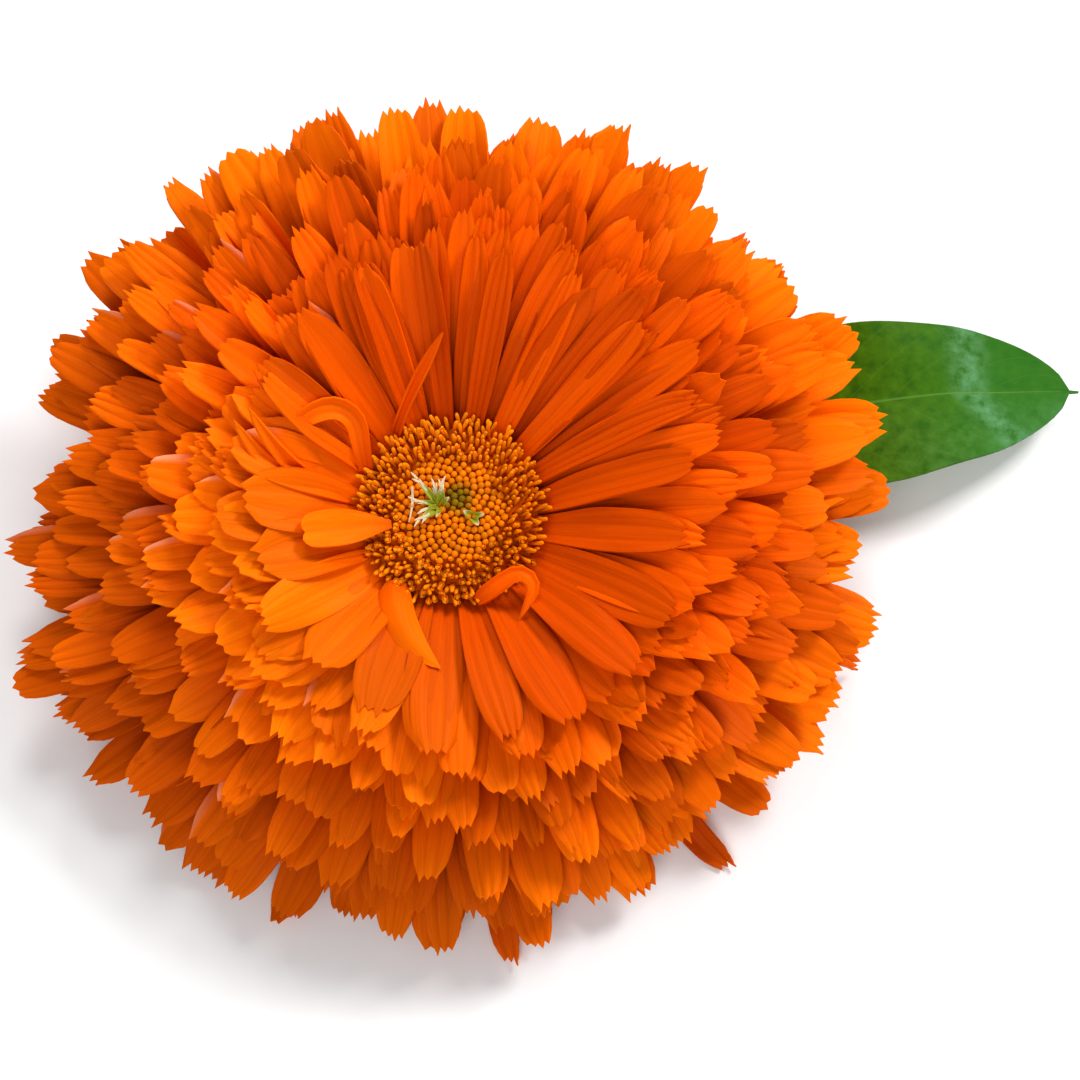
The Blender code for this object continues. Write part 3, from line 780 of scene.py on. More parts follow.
def row_growth(row, index, widths, under=0.0):
    """How one petal of a row grows, and how it is coloured. The petal under another one
    springs lower and a little aside, and is narrower."""
    azimuth = 2.0 * pi * index / PETALS_PER_ROW + row * ROW_TWIST
    share = (row - 1 + under) / (ROWS - 1)
    row += round(60 * under)  # so that it has a scatter of its own

    def own(kind):
        return wobble(row, index, kind)

    azimuth += UNDER_SHIFT * (under + 0.5 * own(SHIFT)) * math.ceil(under)
    inner = 1.0 - share
    left, right = max(0.0, -cos(azimuth)), max(0.0, cos(azimuth))
    front, back = max(0.0, -sin(azimuth)), max(0.0, sin(azimuth))
    # Where light and shade are painted on: sunny for the lit side, painted_shade for the inner petals
    # either side of the right.
    sunny = max(0.0, cos(azimuth - SUNNY_SIDE))
    painted_shade = max(0.0, cos(azimuth + SHADED_SIDE), 0.7 * cos(azimuth - SHADED_SIDE)) * inner**2
    rise = mix(PETAL_RISE, share) + mix(RISE_SWAY, share) * sin(azimuth)
    rise += mix(RISE_SCATTER, share) * own(RISE) - mix(LEFT_DROOP, share) * left
    arch = mix(ARCH, share) * (1.0 + ARCH_SCATTER * own(ARCHING))
    length = mix(PETAL_LENGTH, share) * (1.0 + mix(LENGTH_SCATTER, share) * own(LENGTH))
    length *= 1.0 - (LEFT_SHORTENING * left + FRONT_SHORTENING * front) * inner
    length *= 1.0 + LENGTH_BIAS + LENGTH_BIAS * cos(azimuth - LONG_SIDE)
    length *= 1.0 + outgrowth(azimuth) * share
    width = mix(widths, share) * (1.0 + WIDTH_SCATTER * own(WIDTH))
    broader = LEFT_WIDENING * left - RIGHT_NARROWING * right + FRONT_WIDENING * front
    width *= 1.0 + broader * inner**3 - back * mix(BACK_NARROWING, share)
    width *= 1.0 - OUTER_NARROWING * min(1.0, 2.0 * share) * max(left, front)
    width *= 1.0 - UNDER_NARROWING * under
    trough = 0.1 + 0.6 * sin(azimuth) * (0.5 + inner / 2.0) + 0.45 * own(TROUGH)
    # A petal's end gets painted light: on the sunny side, on the outer rows and in front.
    lit = 0.1 + 0.7 * sunny * (1.0 - 0.7 * share**2)
    opened = 0.8 * share**2 * (1.0 - 0.5 * sunny)
    facing = 0.75 * front * min(1.0, 4.0 * share)
    # A few petals on the left get a painted highlight along one edge.
    highlighted = row > 1 and left > 0.5 and own(PALE) > 0.75
    return {
        "base": around(
            azimuth,
            mix(BASE_RADIUS, share) + SEAT - TUCK * inner**4,
            -ROW_PITCH * share * (ROWS - 1) - BASE_DEPTH,
        ),
        "heading": azimuth + radians(3.0) * own(HEADING),
        "turn": radians(9.0 - 3.0 * share) * own(TURN),
        "pitch": (radians(rise + arch), radians(rise - arch)),
        "curl": radians(22.0) * own(CURL) + TIP_LIFT * max(left, front),
        "roll": radians(16.0) * own(ROLL),
        "twist": radians(20.0) * own(TWIST),
        "length": length,
        "width": width,
        "true_end": True,
        "cup": (0.9, trough),
        "ruffle": 0.16 * MM * (1.0 + own(RUFFLE)),
        "phase": 3.0 * own(PHASE),
        "relief": 0.8 + 0.5 * own(RELIEF),
        # Random tone, raised by painted light on the sunny side and lowered by painted shade.
        "tone": 0.5 + 0.5 * own(TONE) + sunny * (0.55 - 2.0 * abs(share - 0.22)) - 0.6 * painted_shade,
        "age": min(1.0, share),
        "pale": 0.5 if highlighted else 0.0,
        # How far the painted shade at the base reaches, and where the painted light towards the tip
        # starts.
        "root": mix((0.26, 0.86 + 0.1 * max(sunny, front)), min(1.0, 3.0 * share)),
        "spread": 0.7 - 1.2 * sunny * inner**4,
        "bright": max(lit, opened, facing),
        "clearance": LAYER * (ROWS + 1 - share * (ROWS - 1)),
    }


class MARIGOLD_OT_ray_petals(bpy.types.Operator):
    """Lays the toothed petals of all rows round the disc"""

    bl_idname = "marigold.ray_petals"
    bl_label = "Ray petals"

    def execute(self, context):
        settings = context.scene.marigold_petals
        ages = [(0.0, settings.inner), (0.4, settings.middle), (1.0, settings.outer)]
        material = petal_material("marigold_ray_petal", settings, ages)
        blanks = [
            new_petal_blank("blank", settings.rib, teeth, depth * settings.tooth, roundness, tip)
            for teeth, depth, roundness, tip in PETAL_BLANKS
        ]
        widths = (settings.inner_width, settings.outer_width)
        for row in range(1, ROWS + 1):
            petals = []
            for index in range(PETALS_PER_ROW):
                kind = int((wobble(row, index, BLANK) + 1.0) * 0.4999 * len(blanks))
                growth = row_growth(row, index, widths)
                petals.append(laid_copy(blanks[kind], "ray", growth))
                for number, under in enumerate(UNDER):
                    chance = wobble(row, index, UNDER_CHANCE + number)
                    if row >= FULL_ROW or (row > 1 and chance < UNDER_UP_TO):
                        growth = row_growth(row - 1, index, widths, under)
                        petals.append(laid_copy(blanks[kind - 1 - number], "under_ray", growth))
                if row == ROWS:
                    growth = row_growth(row, index, widths, UNDER[-1])
                    growth["length"] *= LAST_LENGTH
                    petals.append(laid_copy(blanks[kind - 1], "last_ray", growth))
            groups = {f"ray_row_{row:02d}": petals}
            if row == 1:
                groups = {f"inner_ray_{index + 1:02d}": [petal] for index, petal in enumerate(petals)}
            for name, group in groups.items():
                node = name.replace("ray_row", "petal_row").replace("inner_ray", "inner_petal")
                finish_sheets(group, name, settings.thickness, material, "petal", [node])
        remove(blanks)
        return {"FINISHED"}


class MARIGOLD_OT_old_petals(bpy.types.Operator):
    """Hangs the narrow, reddish first petals under the rest"""

    bl_idname = "marigold.old_petals"
    bl_label = "Old petals"

    def execute(self, context):
        settings = context.scene.marigold_petals
        ages = [(0.0, settings.old), (1.0, settings.old)]
        material = petal_material("wilting_ray_petal", settings, ages)
        blank = new_petal_blank("blank", 1.3 * settings.rib, 3, 1.3 * settings.tooth, 1.0, 0.5)
        for index in range(OLD_PETALS):
            azimuth = OLD_PHASE + 2.0 * pi * index / OLD_PETALS
            rise = OLD_RISE + OLD_SWAY * sin(azimuth)
            growth = {
                "base": around(azimuth, BASE_RADIUS[1], -ROW_PITCH * ROWS - BASE_DEPTH),
                "heading": azimuth,
                "turn": radians(9.0) * wobble(0, index, TURN),
                "pitch": (radians(rise + OLD_ARCH), radians(rise - OLD_ARCH)),
                "curl": radians(34.0) * wobble(0, index, CURL),
                "roll": radians(12.0) * wobble(0, index, ROLL),
                "twist": radians(30.0) * wobble(0, index, TWIST),
                "length": OLD_LENGTH * (1.0 + 0.04 * wobble(0, index, LENGTH)),
                "width": OLD_WIDTH,
                "true_end": True,
                "cup": (1.0, 1.5 + 0.7 * wobble(0, index, TROUGH)),
                "ruffle": 0.3 * MM,
                "phase": 3.0 * wobble(0, index, PHASE),
                "tone": 0.5 + 0.5 * wobble(0, index, TONE),
                "age": 1.0,
                "clearance": 0.35 * MM,
            }
            petal = [laid_copy(blank, "ray", growth)]
            name, node = f"old_ray_{index + 1:02d}", f"old_petal_{index + 1:02d}"
            finish_sheets(petal, name, settings.thickness, material, "old_petal", [node])
        remove([blank])
        return {"FINISHED"}


class MARIGOLD_OT_stray_petals(bpy.types.Operator):
    """Lays the upright, hooked, folded, curled and narrow petals at the disc's edge"""

    bl_idname = "marigold.stray_petals"
    bl_label = "Stray petals"

    def execute(self, context):
        settings = context.scene.marigold_petals
        material = bpy.data.materials["marigold_ray_petal"]
        rib, tooth = settings.rib, settings.tooth
        blanks = {
            "pointed": new_pointed_blank("blank", 14, 8, rib),
            "toothed": new_petal_blank("blank", rib, 3, tooth, 1.0, 0.5),
            "notched": new_petal_blank("blank", 1.4 * rib, 2, tooth, 1.4, 0.8, 0.2),
        }
        for name, values in STRAYS.items():
            azimuth, radius, height, length, width, cup, twist, kind, knots = values
            sunny = max(0.0, cos(radians(azimuth) - SUNNY_SIDE))
            growth = {
                "base": around(radians(azimuth), radius * MM, height * MM),
                "knots": knots,
                "twist": radians(twist),
                "length": length * MM,
                "width": width * MM,
                "cup": cup,
                "ruffle": 0.1 * MM,
                "tone": 0.8,
                # Painted light on the tips of the strays towards the sunny side.
                "bright": 0.8 * sunny,
                "spread": 0.6 - sunny,
                "relief": 0.8,
            }
            kept, _, number = name.partition("_")
            petal = [laid_copy(blanks[kind], "ray", growth)]
            node = f"{kept}_petal_{number}" if number else f"{kept}_petal"
            finish = (material, "petal", [node])
            finish_sheets(petal, f"{kept}_ray{number}", settings.thickness, *finish)
        remove(blanks.values())
        return {"FINISHED"}


# Disc


def dome(radius):
    """Height of the disc's surface at a radius."""
    return mix(DISC_TOP, (radius / DISC_EDGES[-1]) ** 2)


def lobe(place):
    """1 in the middle of one of a floret's five lobes, -1 between two."""
    return cos(5.0 * math.atan2(place.y, place.x))


def mark_rise(piece):
    """Stores how high on a floret each vertex is, from 0 at its foot to 1 at its top."""
    bpy.ops.object.mode_set(mode="OBJECT")
    mesh = piece.data
    top = max(vertex.co.z for vertex in mesh.vertices)
    layer = mesh.attributes.new("rise", "FLOAT", "POINT")
    layer.data.foreach_set("value", [vertex.co.z / top for vertex in mesh.vertices])
    return piece


def new_bed(settings):
    """The matt bed between the florets: a low dome, closed underneath."""
    material, shader, _ = new_material("floret_bed")
    # The bed takes the painted shade colour of the florets' feet.
    matt = {"Base Color": settings.shade_colour, "Roughness": 0.9, "Specular IOR Level": 0.0}
    connect(shader, matt)
    clear_selection()
    bpy.ops.mesh.primitive_circle_add(
        vertices=40, radius=SEED_BED, fill_type="NGON",
        location=(0.0, 0.0, dome(SEED_BED) - BED_DEPTH),
    )
    bed = bpy.context.active_object
    bpy.ops.object.transform_apply(location=True)
    edit(bed)
    bpy.ops.mesh.select_all(action="SELECT")
    ring = SEED_BED / BED_RINGS
    for step in range(1, BED_RINGS):
        radius = SEED_BED * (1.0 - step / BED_RINGS)
        bpy.ops.mesh.inset(thickness=ring)
        shift(0.0, 0.0, dome(radius) - dome(radius + ring))
    bpy.ops.object.mode_set(mode="OBJECT")
    bed.data.transform(HEAD)
    bed.data.materials.append(material)
    thicken(bed, 0.2 * MM)
    return bed


def new_bud(radius):
    """A closed floret: a bead on a short tube, its five lobes folded together at the top."""
    clear_selection()
    bpy.ops.mesh.primitive_uv_sphere_add(segments=10, ring_count=6, radius=radius)
    bud = bpy.context.active_object
    edit(bud)
    pick(bud, lambda place: place.z < -0.6 * radius)
    shift(0.0, 0.0, -2.4 * radius)
    pick(bud, lambda place: place.z > 0.99 * radius)
    shift(0.0, 0.0, -0.12 * radius)

    def in_fold(place):
        beside_top = math.hypot(place.x, place.y) > 0.1 * radius
        return place.z > 0.7 * radius and near(lobe(place), -1.0) and beside_top

    pick(bud, in_fold)
    scale(0.8, 0.8, 1.0)
    bpy.ops.mesh.select_all(action="SELECT")
    shift(0.0, 0.0, 3.4 * radius)
    return mark_rise(bud)


def new_tube(sides, radius, height):
    """A short cylinder that stands on the origin, with its top selected."""
    clear_selection()
    bpy.ops.mesh.primitive_cylinder_add(
        vertices=sides, radius=radius, depth=height, location=(0.0, 0.0, height / 2.0),
    )
    tube = bpy.context.active_object
    bpy.ops.object.transform_apply(location=True)
    edit(tube)
    pick(tube, lambda place: near(place.z, height))
    return tube


def new_finger(radius, height):
    """An open floret's style: a slender column, rounded and slightly swollen at its top."""
    finger = new_tube(7, 0.8 * radius, 0.55 * height)
    for step, width in ((0.3, 1.25), (0.1, 0.85), (0.05, 0.5)):
        extrude(0.0, 0.0, step * height)
        scale(width, width, 1.0)
    return mark_rise(finger)


def new_star(radius, height):
    """An open floret: a flared tube with five pointed lobes and its column in the middle."""
    star = new_tube(10, 0.7 * radius, 0.6 * height)
    extrude(0.0, 0.0, 0.15 * height)
    scale(1.5, 1.5, 1.0)
    bpy.ops.mesh.inset(thickness=0.55 * radius)
    shift(0.0, 0.0, -0.12 * height)
    extrude(0.0, 0.0, 0.34 * height)
    rim = 0.99 * radius
    pick(star, lambda place: math.hypot(place.x, place.y) > rim and lobe(place) > 0.5)
    scale(1.45, 1.45, 1.12)
    return mark_rise(star)


def floret_material(settings):
    """Marigold disc floret: a waxy little tube, so it has small soft highlights; amber while
    it is closed, a clearer yellow orange once open, with painted shade in red brown down between its
    neighbours."""
    material, shader, add = new_material("marigold_disc_floret")
    marks = ("rise", "tone", "age", "unripe")
    rise, tone, age, unripe = [
        add("Attribute", attribute_name=attribute) for attribute in marks
    ]
    # Painted shade: the lower part of a floret takes the floret base colour.
    climb = add("ValToRGB", {0: rise}, stops=[(0.3, BLACK), (0.75, WHITE)])
    colours = {0: age, 6: settings.bud_colour, 7: settings.floret_colour}
    body = add("Mix", colours, data_type="RGBA")
    body = add("Mix", {0: climb, 6: settings.shade_colour, 7: body}, data_type="RGBA")
    body = add("Mix", {0: unripe, 6: body, 7: settings.unripe_colour}, data_type="RGBA")
    own = add("MapRange", {0: tone, 3: 0.8, 4: 1.15})
    spot = add("TexCoord")
    grain = add("TexNoise", {"Vector": spot, "Scale": 1.0 / (0.2 * MM)})
    connect(shader, {
        "Base Color": add("VectorMath", {0: body, 3: own}, operation="SCALE"),
        "Normal": add("Bump", {"Height": grain, "Strength": 0.3, "Distance": 0.04 * MM}),
        "Roughness": 0.34,
        "IOR": 1.42,
        "Specular IOR Level": 0.08,
        "Subsurface Weight": 0.2,
        "Subsurface Radius": (1.0, 0.4, 0.08),
        "Subsurface Scale": 0.3 * MM,
    })
    return material


class MARIGOLD_OT_disc_florets(bpy.types.Operator):
    """Packs the florets on the disc along a golden-angle spiral"""

    bl_idname = "marigold.disc_florets"
    bl_label = "Disc florets"

    def execute(self, context):
        settings = context.scene.marigold_disc
        material = floret_material(settings)
        bud = new_bud(settings.bud)
        finger = new_finger(0.56 * settings.bud, FINGER_HEIGHT)
        star = new_star(0.76 * settings.bud, STAR_HEIGHT)
        for blank in (bud, finger, star):
            blank.data.materials.append(material)
        groups = [[] for _ in DISC_EDGES[1:]]
        groups[-1].append(new_bed(settings))
        for index in range(settings.florets):
            if index < BUDS:
                radius = BUD_ZONE * math.sqrt((index + 0.5) / BUDS)
            else:
                beyond = (index - BUDS) / (settings.florets - BUDS)
                radius = math.sqrt(mix((BUD_ZONE**2, SEED_BED**2), beyond))
            azimuth = index * GOLDEN_ANGLE
            out = radius / SEED_BED
            if radius < BUD_ZONE + BUD_ZONE_SCATTER * wobble(1, index, ZONE):
                blank, lean, sink, opened = bud, BUD_LEAN * out, BUD_SINK * settings.bud, 0.0
            elif wobble(2, index, STYLE) < 0.3 + 0.5 * sin(azimuth + 0.8):
                blank, sink, opened = finger, FINGER_SINK, 0.6
                lean = FINGER_LEAN[0] + FINGER_LEAN[1] * out**4
            else:
                blank, sink, opened = star, STAR_SINK, 1.0
                lean = STAR_LEAN[0] + STAR_LEAN[1] * out**4
            lean = radians(lean + (3.0 + 15.0 * opened) * wobble(3, index, LEAN))
            size = 1.0 + (0.07 + 0.14 * opened) * wobble(4, index, SIZE)
            foot = around(azimuth, radius, dome(radius) - sink * cos(lean))
            turn = Matrix.Rotation(azimuth + 0.6 * wobble(5, index, SPIN), 4, "Z")
            tilt = Matrix.Rotation(lean, 4, "Y")
            floret = bpy.data.objects.new("floret", blank.data.copy())
            context.scene.collection.objects.link(floret)
            floret.data.transform(HEAD @ Matrix.Translation(foot) @ turn @ tilt @ Matrix.Scale(size, 4))
            # Painted shade: open florets towards the front right keep more of the darker bud colour.
            yellow = 1.0 - 0.75 * max(0.0, cos(azimuth + 0.5))
            apart = (around(azimuth, radius, 0.0) - UNRIPE_PLACE).length / UNRIPE_REACH
            mark(floret.data, "tone", 0.5 + 0.5 * wobble(6, index, SHADE))
            mark(floret.data, "age", opened * yellow)
            mark(floret.data, "unripe", 0.8 * min(1.0, max(0.0, 2.0 - 2.0 * apart)))
            groups[sum(radius > edge for edge in DISC_EDGES[1:-1])].append(floret)
        for group, name in zip(groups, ("middle", "ring_1", "ring_2", "ring_3")):
            whole = joined(group, f"florets_{name}")
            finish_piece(whole, material, "floret", [f"disc_{name}"])
        remove([bud, finger, star])
        return {"FINISHED"}


# Green tufts


def scale_material(name, lower, upper, tip_start, vein_spacing):
    """Small leafy scale: matt green with fine lengthwise veins, dry and pale at its tip."""
    material, shader, add = new_material(name)
    uv = add("UVMap", uv_map="UVMap")
    along = add("SeparateXYZ", {0: uv})
    tone = add("Attribute", attribute_name="tone")
    age = add("Attribute", attribute_name="age")
    drawn = add("Mapping", {0: uv, 3: (2.0, BRACT_WIDTH / vein_spacing, 1.0)})
    veins = add("TexNoise", {"Vector": drawn, "Scale": 1.0})
    tip = add("ValToRGB", {0: along}, stops=[(tip_start, BLACK), (1.0, WHITE)])
    dry = add("Math", {0: tip, 1: age}, operation="MAXIMUM")
    body = add("Mix", {0: dry, 6: lower, 7: upper}, data_type="RGBA")
    mottle = add("MapRange", {0: veins, 1: 0.3, 2: 0.7, 3: 0.8, 4: 1.15})
    own = add("MapRange", {0: tone, 3: 0.8, 4: 1.15})
    shade = add("Math", {0: mottle, 1: own}, operation="MULTIPLY")
    connect(shader, {
        "Base Color": add("VectorMath", {0: body, 3: shade}, operation="SCALE"),
        "Normal": add("Bump", {"Height": veins, "Strength": 0.4, "Distance": 0.05 * MM}),
        "Roughness": 0.55,
        "Subsurface Weight": 0.15,
        "Subsurface Radius": (0.6, 1.0, 0.2),
        "Subsurface Scale": 0.3 * MM,
    })
    return material


def bristle(blank, width, growth):
    """A stiff pale hair."""
    growth.update({"width": width, "relief": 0.1, "age": 1.0})
    return laid_copy(blank, "bristle", growth)


def hairs_along(blank, growth, seed):
    """Stiff pale hairs that spread from the outer half of a scale."""
    path = path_frames(growth, HEAD)
    back = HEAD.inverted()
    hairs = []
    for index in range(HAIRS):
        share = 0.55 + 0.45 * index / (HAIRS - 1)
        hair = {
            "base": back @ frame_at(path, share)[0],
            "heading": growth["heading"] + radians(24.0) * wobble(seed, index, HAIR_HEADING),
            "pitch": (radians(22.0 + 14.0 * wobble(seed, index, HAIR_RISE)), 0.0),
            "length": 0.9 * MM,
        }
        hairs.append(bristle(blank, 0.14 * MM, hair))
    return hairs


class MARIGOLD_OT_green_tufts(bpy.types.Operator):
    """Sets the small green scales and their bristles among the middle florets"""

    bl_idname = "marigold.green_tufts"
    bl_label = "Green tufts"

    def execute(self, context):
        settings = context.scene.marigold_disc
        colours = (settings.tuft_colour, settings.bristle_colour)
        green = scale_material("tuft_scale", *colours, 0.62, 0.3 * MM)
        blank = new_pointed_blank("blank", 8, 4, keel=0.8 * MM)
        for node, (seat, scales) in TUFTS.items():
            middle = Vector((seat[0] * MM, seat[1] * MM, DISC_TOP[0] - 0.35 * MM))
            parts = []
            for index, (heading, length, width, rise) in enumerate(scales):
                growth = {
                    "base": middle + around(radians(heading), 0.2 * MM, 0.0),
                    "heading": radians(heading),
                    "turn": 0.3 * wobble(7, index, SCALE_TURN),
                    "pitch": (radians(rise + 12.0), radians(rise - 34.0)),
                    "length": length * MM,
                    "width": width * MM,
                    "cup": (0.9, 0.6),
                    "relief": 0.15,
                    "tone": 0.5 + 0.5 * wobble(8, index, SCALE_SHADE),
                }
                parts.append(laid_copy(blank, "scale", growth))
                if length > HAIRY_LENGTH:
                    parts += hairs_along(blank, growth, index)
            if node == "green_tuft_left":
                x, y = LOOSE_BRISTLE["place"]
                loose = {
                    "base": Vector((x * MM, y * MM, dome(math.hypot(x, y) * MM) + 0.25 * MM)),
                    "heading": radians(LOOSE_BRISTLE["heading"]),
                    "turn": radians(LOOSE_BRISTLE["turn"]),
                    "pitch": (radians(12.0), radians(-8.0)),
                    "length": LOOSE_BRISTLE["length"] * MM,
                }
                parts.append(bristle(blank, 0.16 * MM, loose))
            name = node.replace("tuft", "scales")
            finish_sheets(parts, name, 0.07 * MM, green, "tuft", [node])
        remove([blank])
        return {"FINISHED"}


# Receptacle, bracts, stem and leaf


class MARIGOLD_OT_receptacle(bpy.types.Operator):
    """Gives the receptacle the finish of fresh pith below and of the floret bed above"""

    bl_idname = "marigold.receptacle"
    bl_label = "Receptacle"

    def execute(self, context):
        pith = context.scene.marigold_green.pith_colour
        shade = context.scene.marigold_disc.shade_colour
        material, shader, add = new_material("receptacle_pith")
        spot = add("TexCoord")
        place = {0: spot, 1: HEAD.translation, 2: (HEAD_LEAN, 0.0, 0.0)}
        turned = add("Mapping", place, vector_type="TEXTURE")
        height = add("SeparateXYZ", {0: turned}).node.outputs[2]
        # Painted shade: the crown takes the colour between the florets.
        crown = add("MapRange", {0: height, 1: -9.0 * MM, 2: -6.0 * MM})
        body = add("Mix", {0: crown, 6: pith, 7: shade}, data_type="RGBA")
        grain = add("TexNoise", {"Vector": spot, "Scale": 1.0 / (0.6 * MM)})
        mottle = add("MapRange", {0: grain, 1: 0.3, 2: 0.7, 3: 0.75, 4: 1.1})
        bump = {"Height": grain, "Strength": 0.4, "Distance": 0.1 * MM}
        connect(shader, {
            "Base Color": add("VectorMath", {0: body, 3: mottle}, operation="SCALE"),
            "Normal": add("Bump", bump),
            "Roughness": 0.8,
            "Specular IOR Level": 0.1,
        })
        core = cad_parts["receptacle"]
        core.data.materials.clear()
        core.data.materials.append(material)
        return {"FINISHED"}


class MARIGOLD_OT_bracts(bpy.types.Operator):
    """Lays the two rows of narrow green bracts under the petals"""

    bl_idname = "marigold.bracts"
    bl_label = "Bracts"

    def execute(self, context):
        settings = context.scene.marigold_green
        colours = (settings.stem_colour, settings.bract_tip_colour)
        material = scale_material("marigold_bract", *colours, 0.72, 0.35 * MM)
        blank = new_pointed_blank("blank", 12, 8, rib=0.2 * MM, keel=0.3 * MM)
        for node, (row, radius, length, rise_here, phase) in BRACT_ROWS.items():
            bracts = []
            for index in range(BRACTS_PER_ROW):
                azimuth = 2.0 * pi * (index + phase) / BRACTS_PER_ROW
                rise = rise_here + BRACT_SWAY * sin(azimuth)
                growth = {
                    "base": around(azimuth, radius, -ROW_PITCH * (row - 1) - BASE_DEPTH),
                    "heading": azimuth,
                    "turn": radians(5.0) * wobble(row, index, TURN),
                    "pitch": (radians(rise + BRACT_ARCH), radians(rise - BRACT_ARCH)),
                    "curl": radians(20.0) * wobble(row, index, CURL),
                    "length": length * (1.0 + 0.06 * wobble(row, index, LENGTH)),
                    "width": BRACT_WIDTH,
                    "cup": (0.7, 0.5),
                    "ruffle": 0.1 * MM,
                    "tone": 0.5 + 0.5 * wobble(row, index, TONE),
                    "clearance": 0.3 * MM,
                }
                bracts.append(laid_copy(blank, "bract", growth))
            name = node.replace("bracts", "bract_row")
            finish_sheets(bracts, name, 0.3 * MM, material, "bract", [node])
        remove([blank])
        return {"FINISHED"}


def stem_course():
    """Where the stem starts, how long it is, and its heading and pitch at any share of it."""
    tilt = QUARTER_TURN - HEAD_LEAN
    start = HEAD @ Vector((0.0, 0.0, RECEPTACLE_BOTTOM))
    bend_radius = (start.z - STEM_NECK - STEM_RADIUS) / (1.0 - cos(tilt))
    bend = bend_radius * tilt
    total = STEM_NECK + bend + STEM_RUN

    def course(share):
        reached = share * total
        if reached < STEM_NECK + bend:
            return STEM_HEADING, -tilt * (1.0 - max(0.0, reached - STEM_NECK) / bend)
        return STEM_HEADING + STEM_SWEEP * (reached - STEM_NECK - bend) / STEM_RUN, 0.0

    return start, total, course


def stem_material(settings):
    """Fresh herb stem: ribbed, slightly waxy green skin with paler and darker streaks."""
    material, shader, add = new_material("marigold_stem")
    spot = add("TexCoord")
    noise = {"Vector": spot, "Scale": 1.0 / (0.35 * MM), "Detail": 4.0}
    grain = add("TexNoise", noise)
    greens = [(0.3, linear("#56702a")), (0.55, settings.stem_colour), (0.75, linear("#93a95c"))]
    connect(shader, {
        "Base Color": add("ValToRGB", {0: grain}, stops=greens),
        "Normal": add("Bump", {"Height": grain, "Strength": 0.6, "Distance": 0.08 * MM}),
        "Roughness": 0.5,
        "Subsurface Weight": 0.1,
        "Subsurface Radius": (0.5, 1.0, 0.2),
        "Subsurface Scale": 0.6 * MM,
    })
    return material


def pith_material(settings):
    """Cut pith: moist, pale and finely porous."""
    material, shader, add = new_material("stem_pith")
    spot = add("TexCoord")
    pores = add("TexVoronoi", {"Vector": spot, "Scale": 1.0 / (0.3 * MM)})
    pales = [(0.0, linear("#9aa765")), (0.5, settings.pith_colour)]
    colour = add("ValToRGB", {0: pores}, stops=pales)
    connect(shader, {"Base Color": colour, "Roughness": 0.6})
    return material


class MARIGOLD_OT_stem(bpy.types.Operator):
    """Draws out the ribbed stem, from under the head to its cut end"""

    bl_idname = "marigold.stem"
    bl_label = "Stem"

    def execute(self, context):
        settings = context.scene.marigold_green
        clear_selection()
        bpy.ops.mesh.primitive_circle_add(
            vertices=STEM_SIDES, radius=STEM_RADIUS, fill_type="NGON",
            rotation=(0.0, -QUARTER_TURN, 0.0),
        )
        stem = context.active_object
        stem.name = "ribbed_stem"
        bpy.ops.object.transform_apply(rotation=True)
        edit(stem)
        pick(stem, lambda place: cos(STEM_RIBS * math.atan2(place.z, place.y)) < -0.5)
        scale(1.0, 0.9, 0.9)
        bpy.ops.mesh.select_all(action="SELECT")
        for _ in range(STEM_RINGS):
            extrude(BLANK_LENGTH / STEM_RINGS, 0.0, 0.0)
        for rim, depth in STEM_CUT:
            bpy.ops.mesh.inset(thickness=rim * STEM_RADIUS)
            shift(-depth, 0.0, 0.0)
        bpy.ops.mesh.select_all(action="SELECT")
        bpy.ops.mesh.normals_make_consistent(inside=False)
        bpy.ops.object.mode_set(mode="OBJECT")
        stem.data.materials.append(stem_material(settings))
        stem.data.materials.append(pith_material(settings))
        for face in stem.data.polygons:
            if face.center.x > BLANK_LENGTH - 0.45 * MM and abs(face.normal.x) > 0.7:
                face.material_index = 1
        start, total, course = stem_course()
        growth = {"base": start, "length": total, "course": course, "width": BLANK_WIDTH}
        lay(stem.data, growth, Matrix.Identity(4))
        finish_piece(stem, None, "stem", ["stem"])
        return {"FINISHED"}


def leaf_outline(share):
    """Width of the leaf along its length: clasping base, broad blade, pointed tip."""
    tip_width = LEAF_TIP_WIDTH * (1.0 - 0.6 * max(0.0, share - LEAF_MUCRO) / (1.0 - LEAF_MUCRO))
    share = min(1.0, share / LEAF_MUCRO)
    swell = sin(pi * share**1.38) ** 0.6 if share < 1.0 else 0.0
    return max(tip_width, LEAF_BASE_WIDTH * (1.0 - share) ** 3 + LEAF_WIDTH * swell)


def leaf_course(share):
    """Heading and pitch along the leaf: it arches over, with a shallow step across it."""
    step = math.exp(-(((share - LEAF_STEP[0]) / LEAF_STEP[1]) ** 2))
    return mix(LEAF_HEADING, share), mix(LEAF_PITCH, share) - LEAF_STEP[2] * step


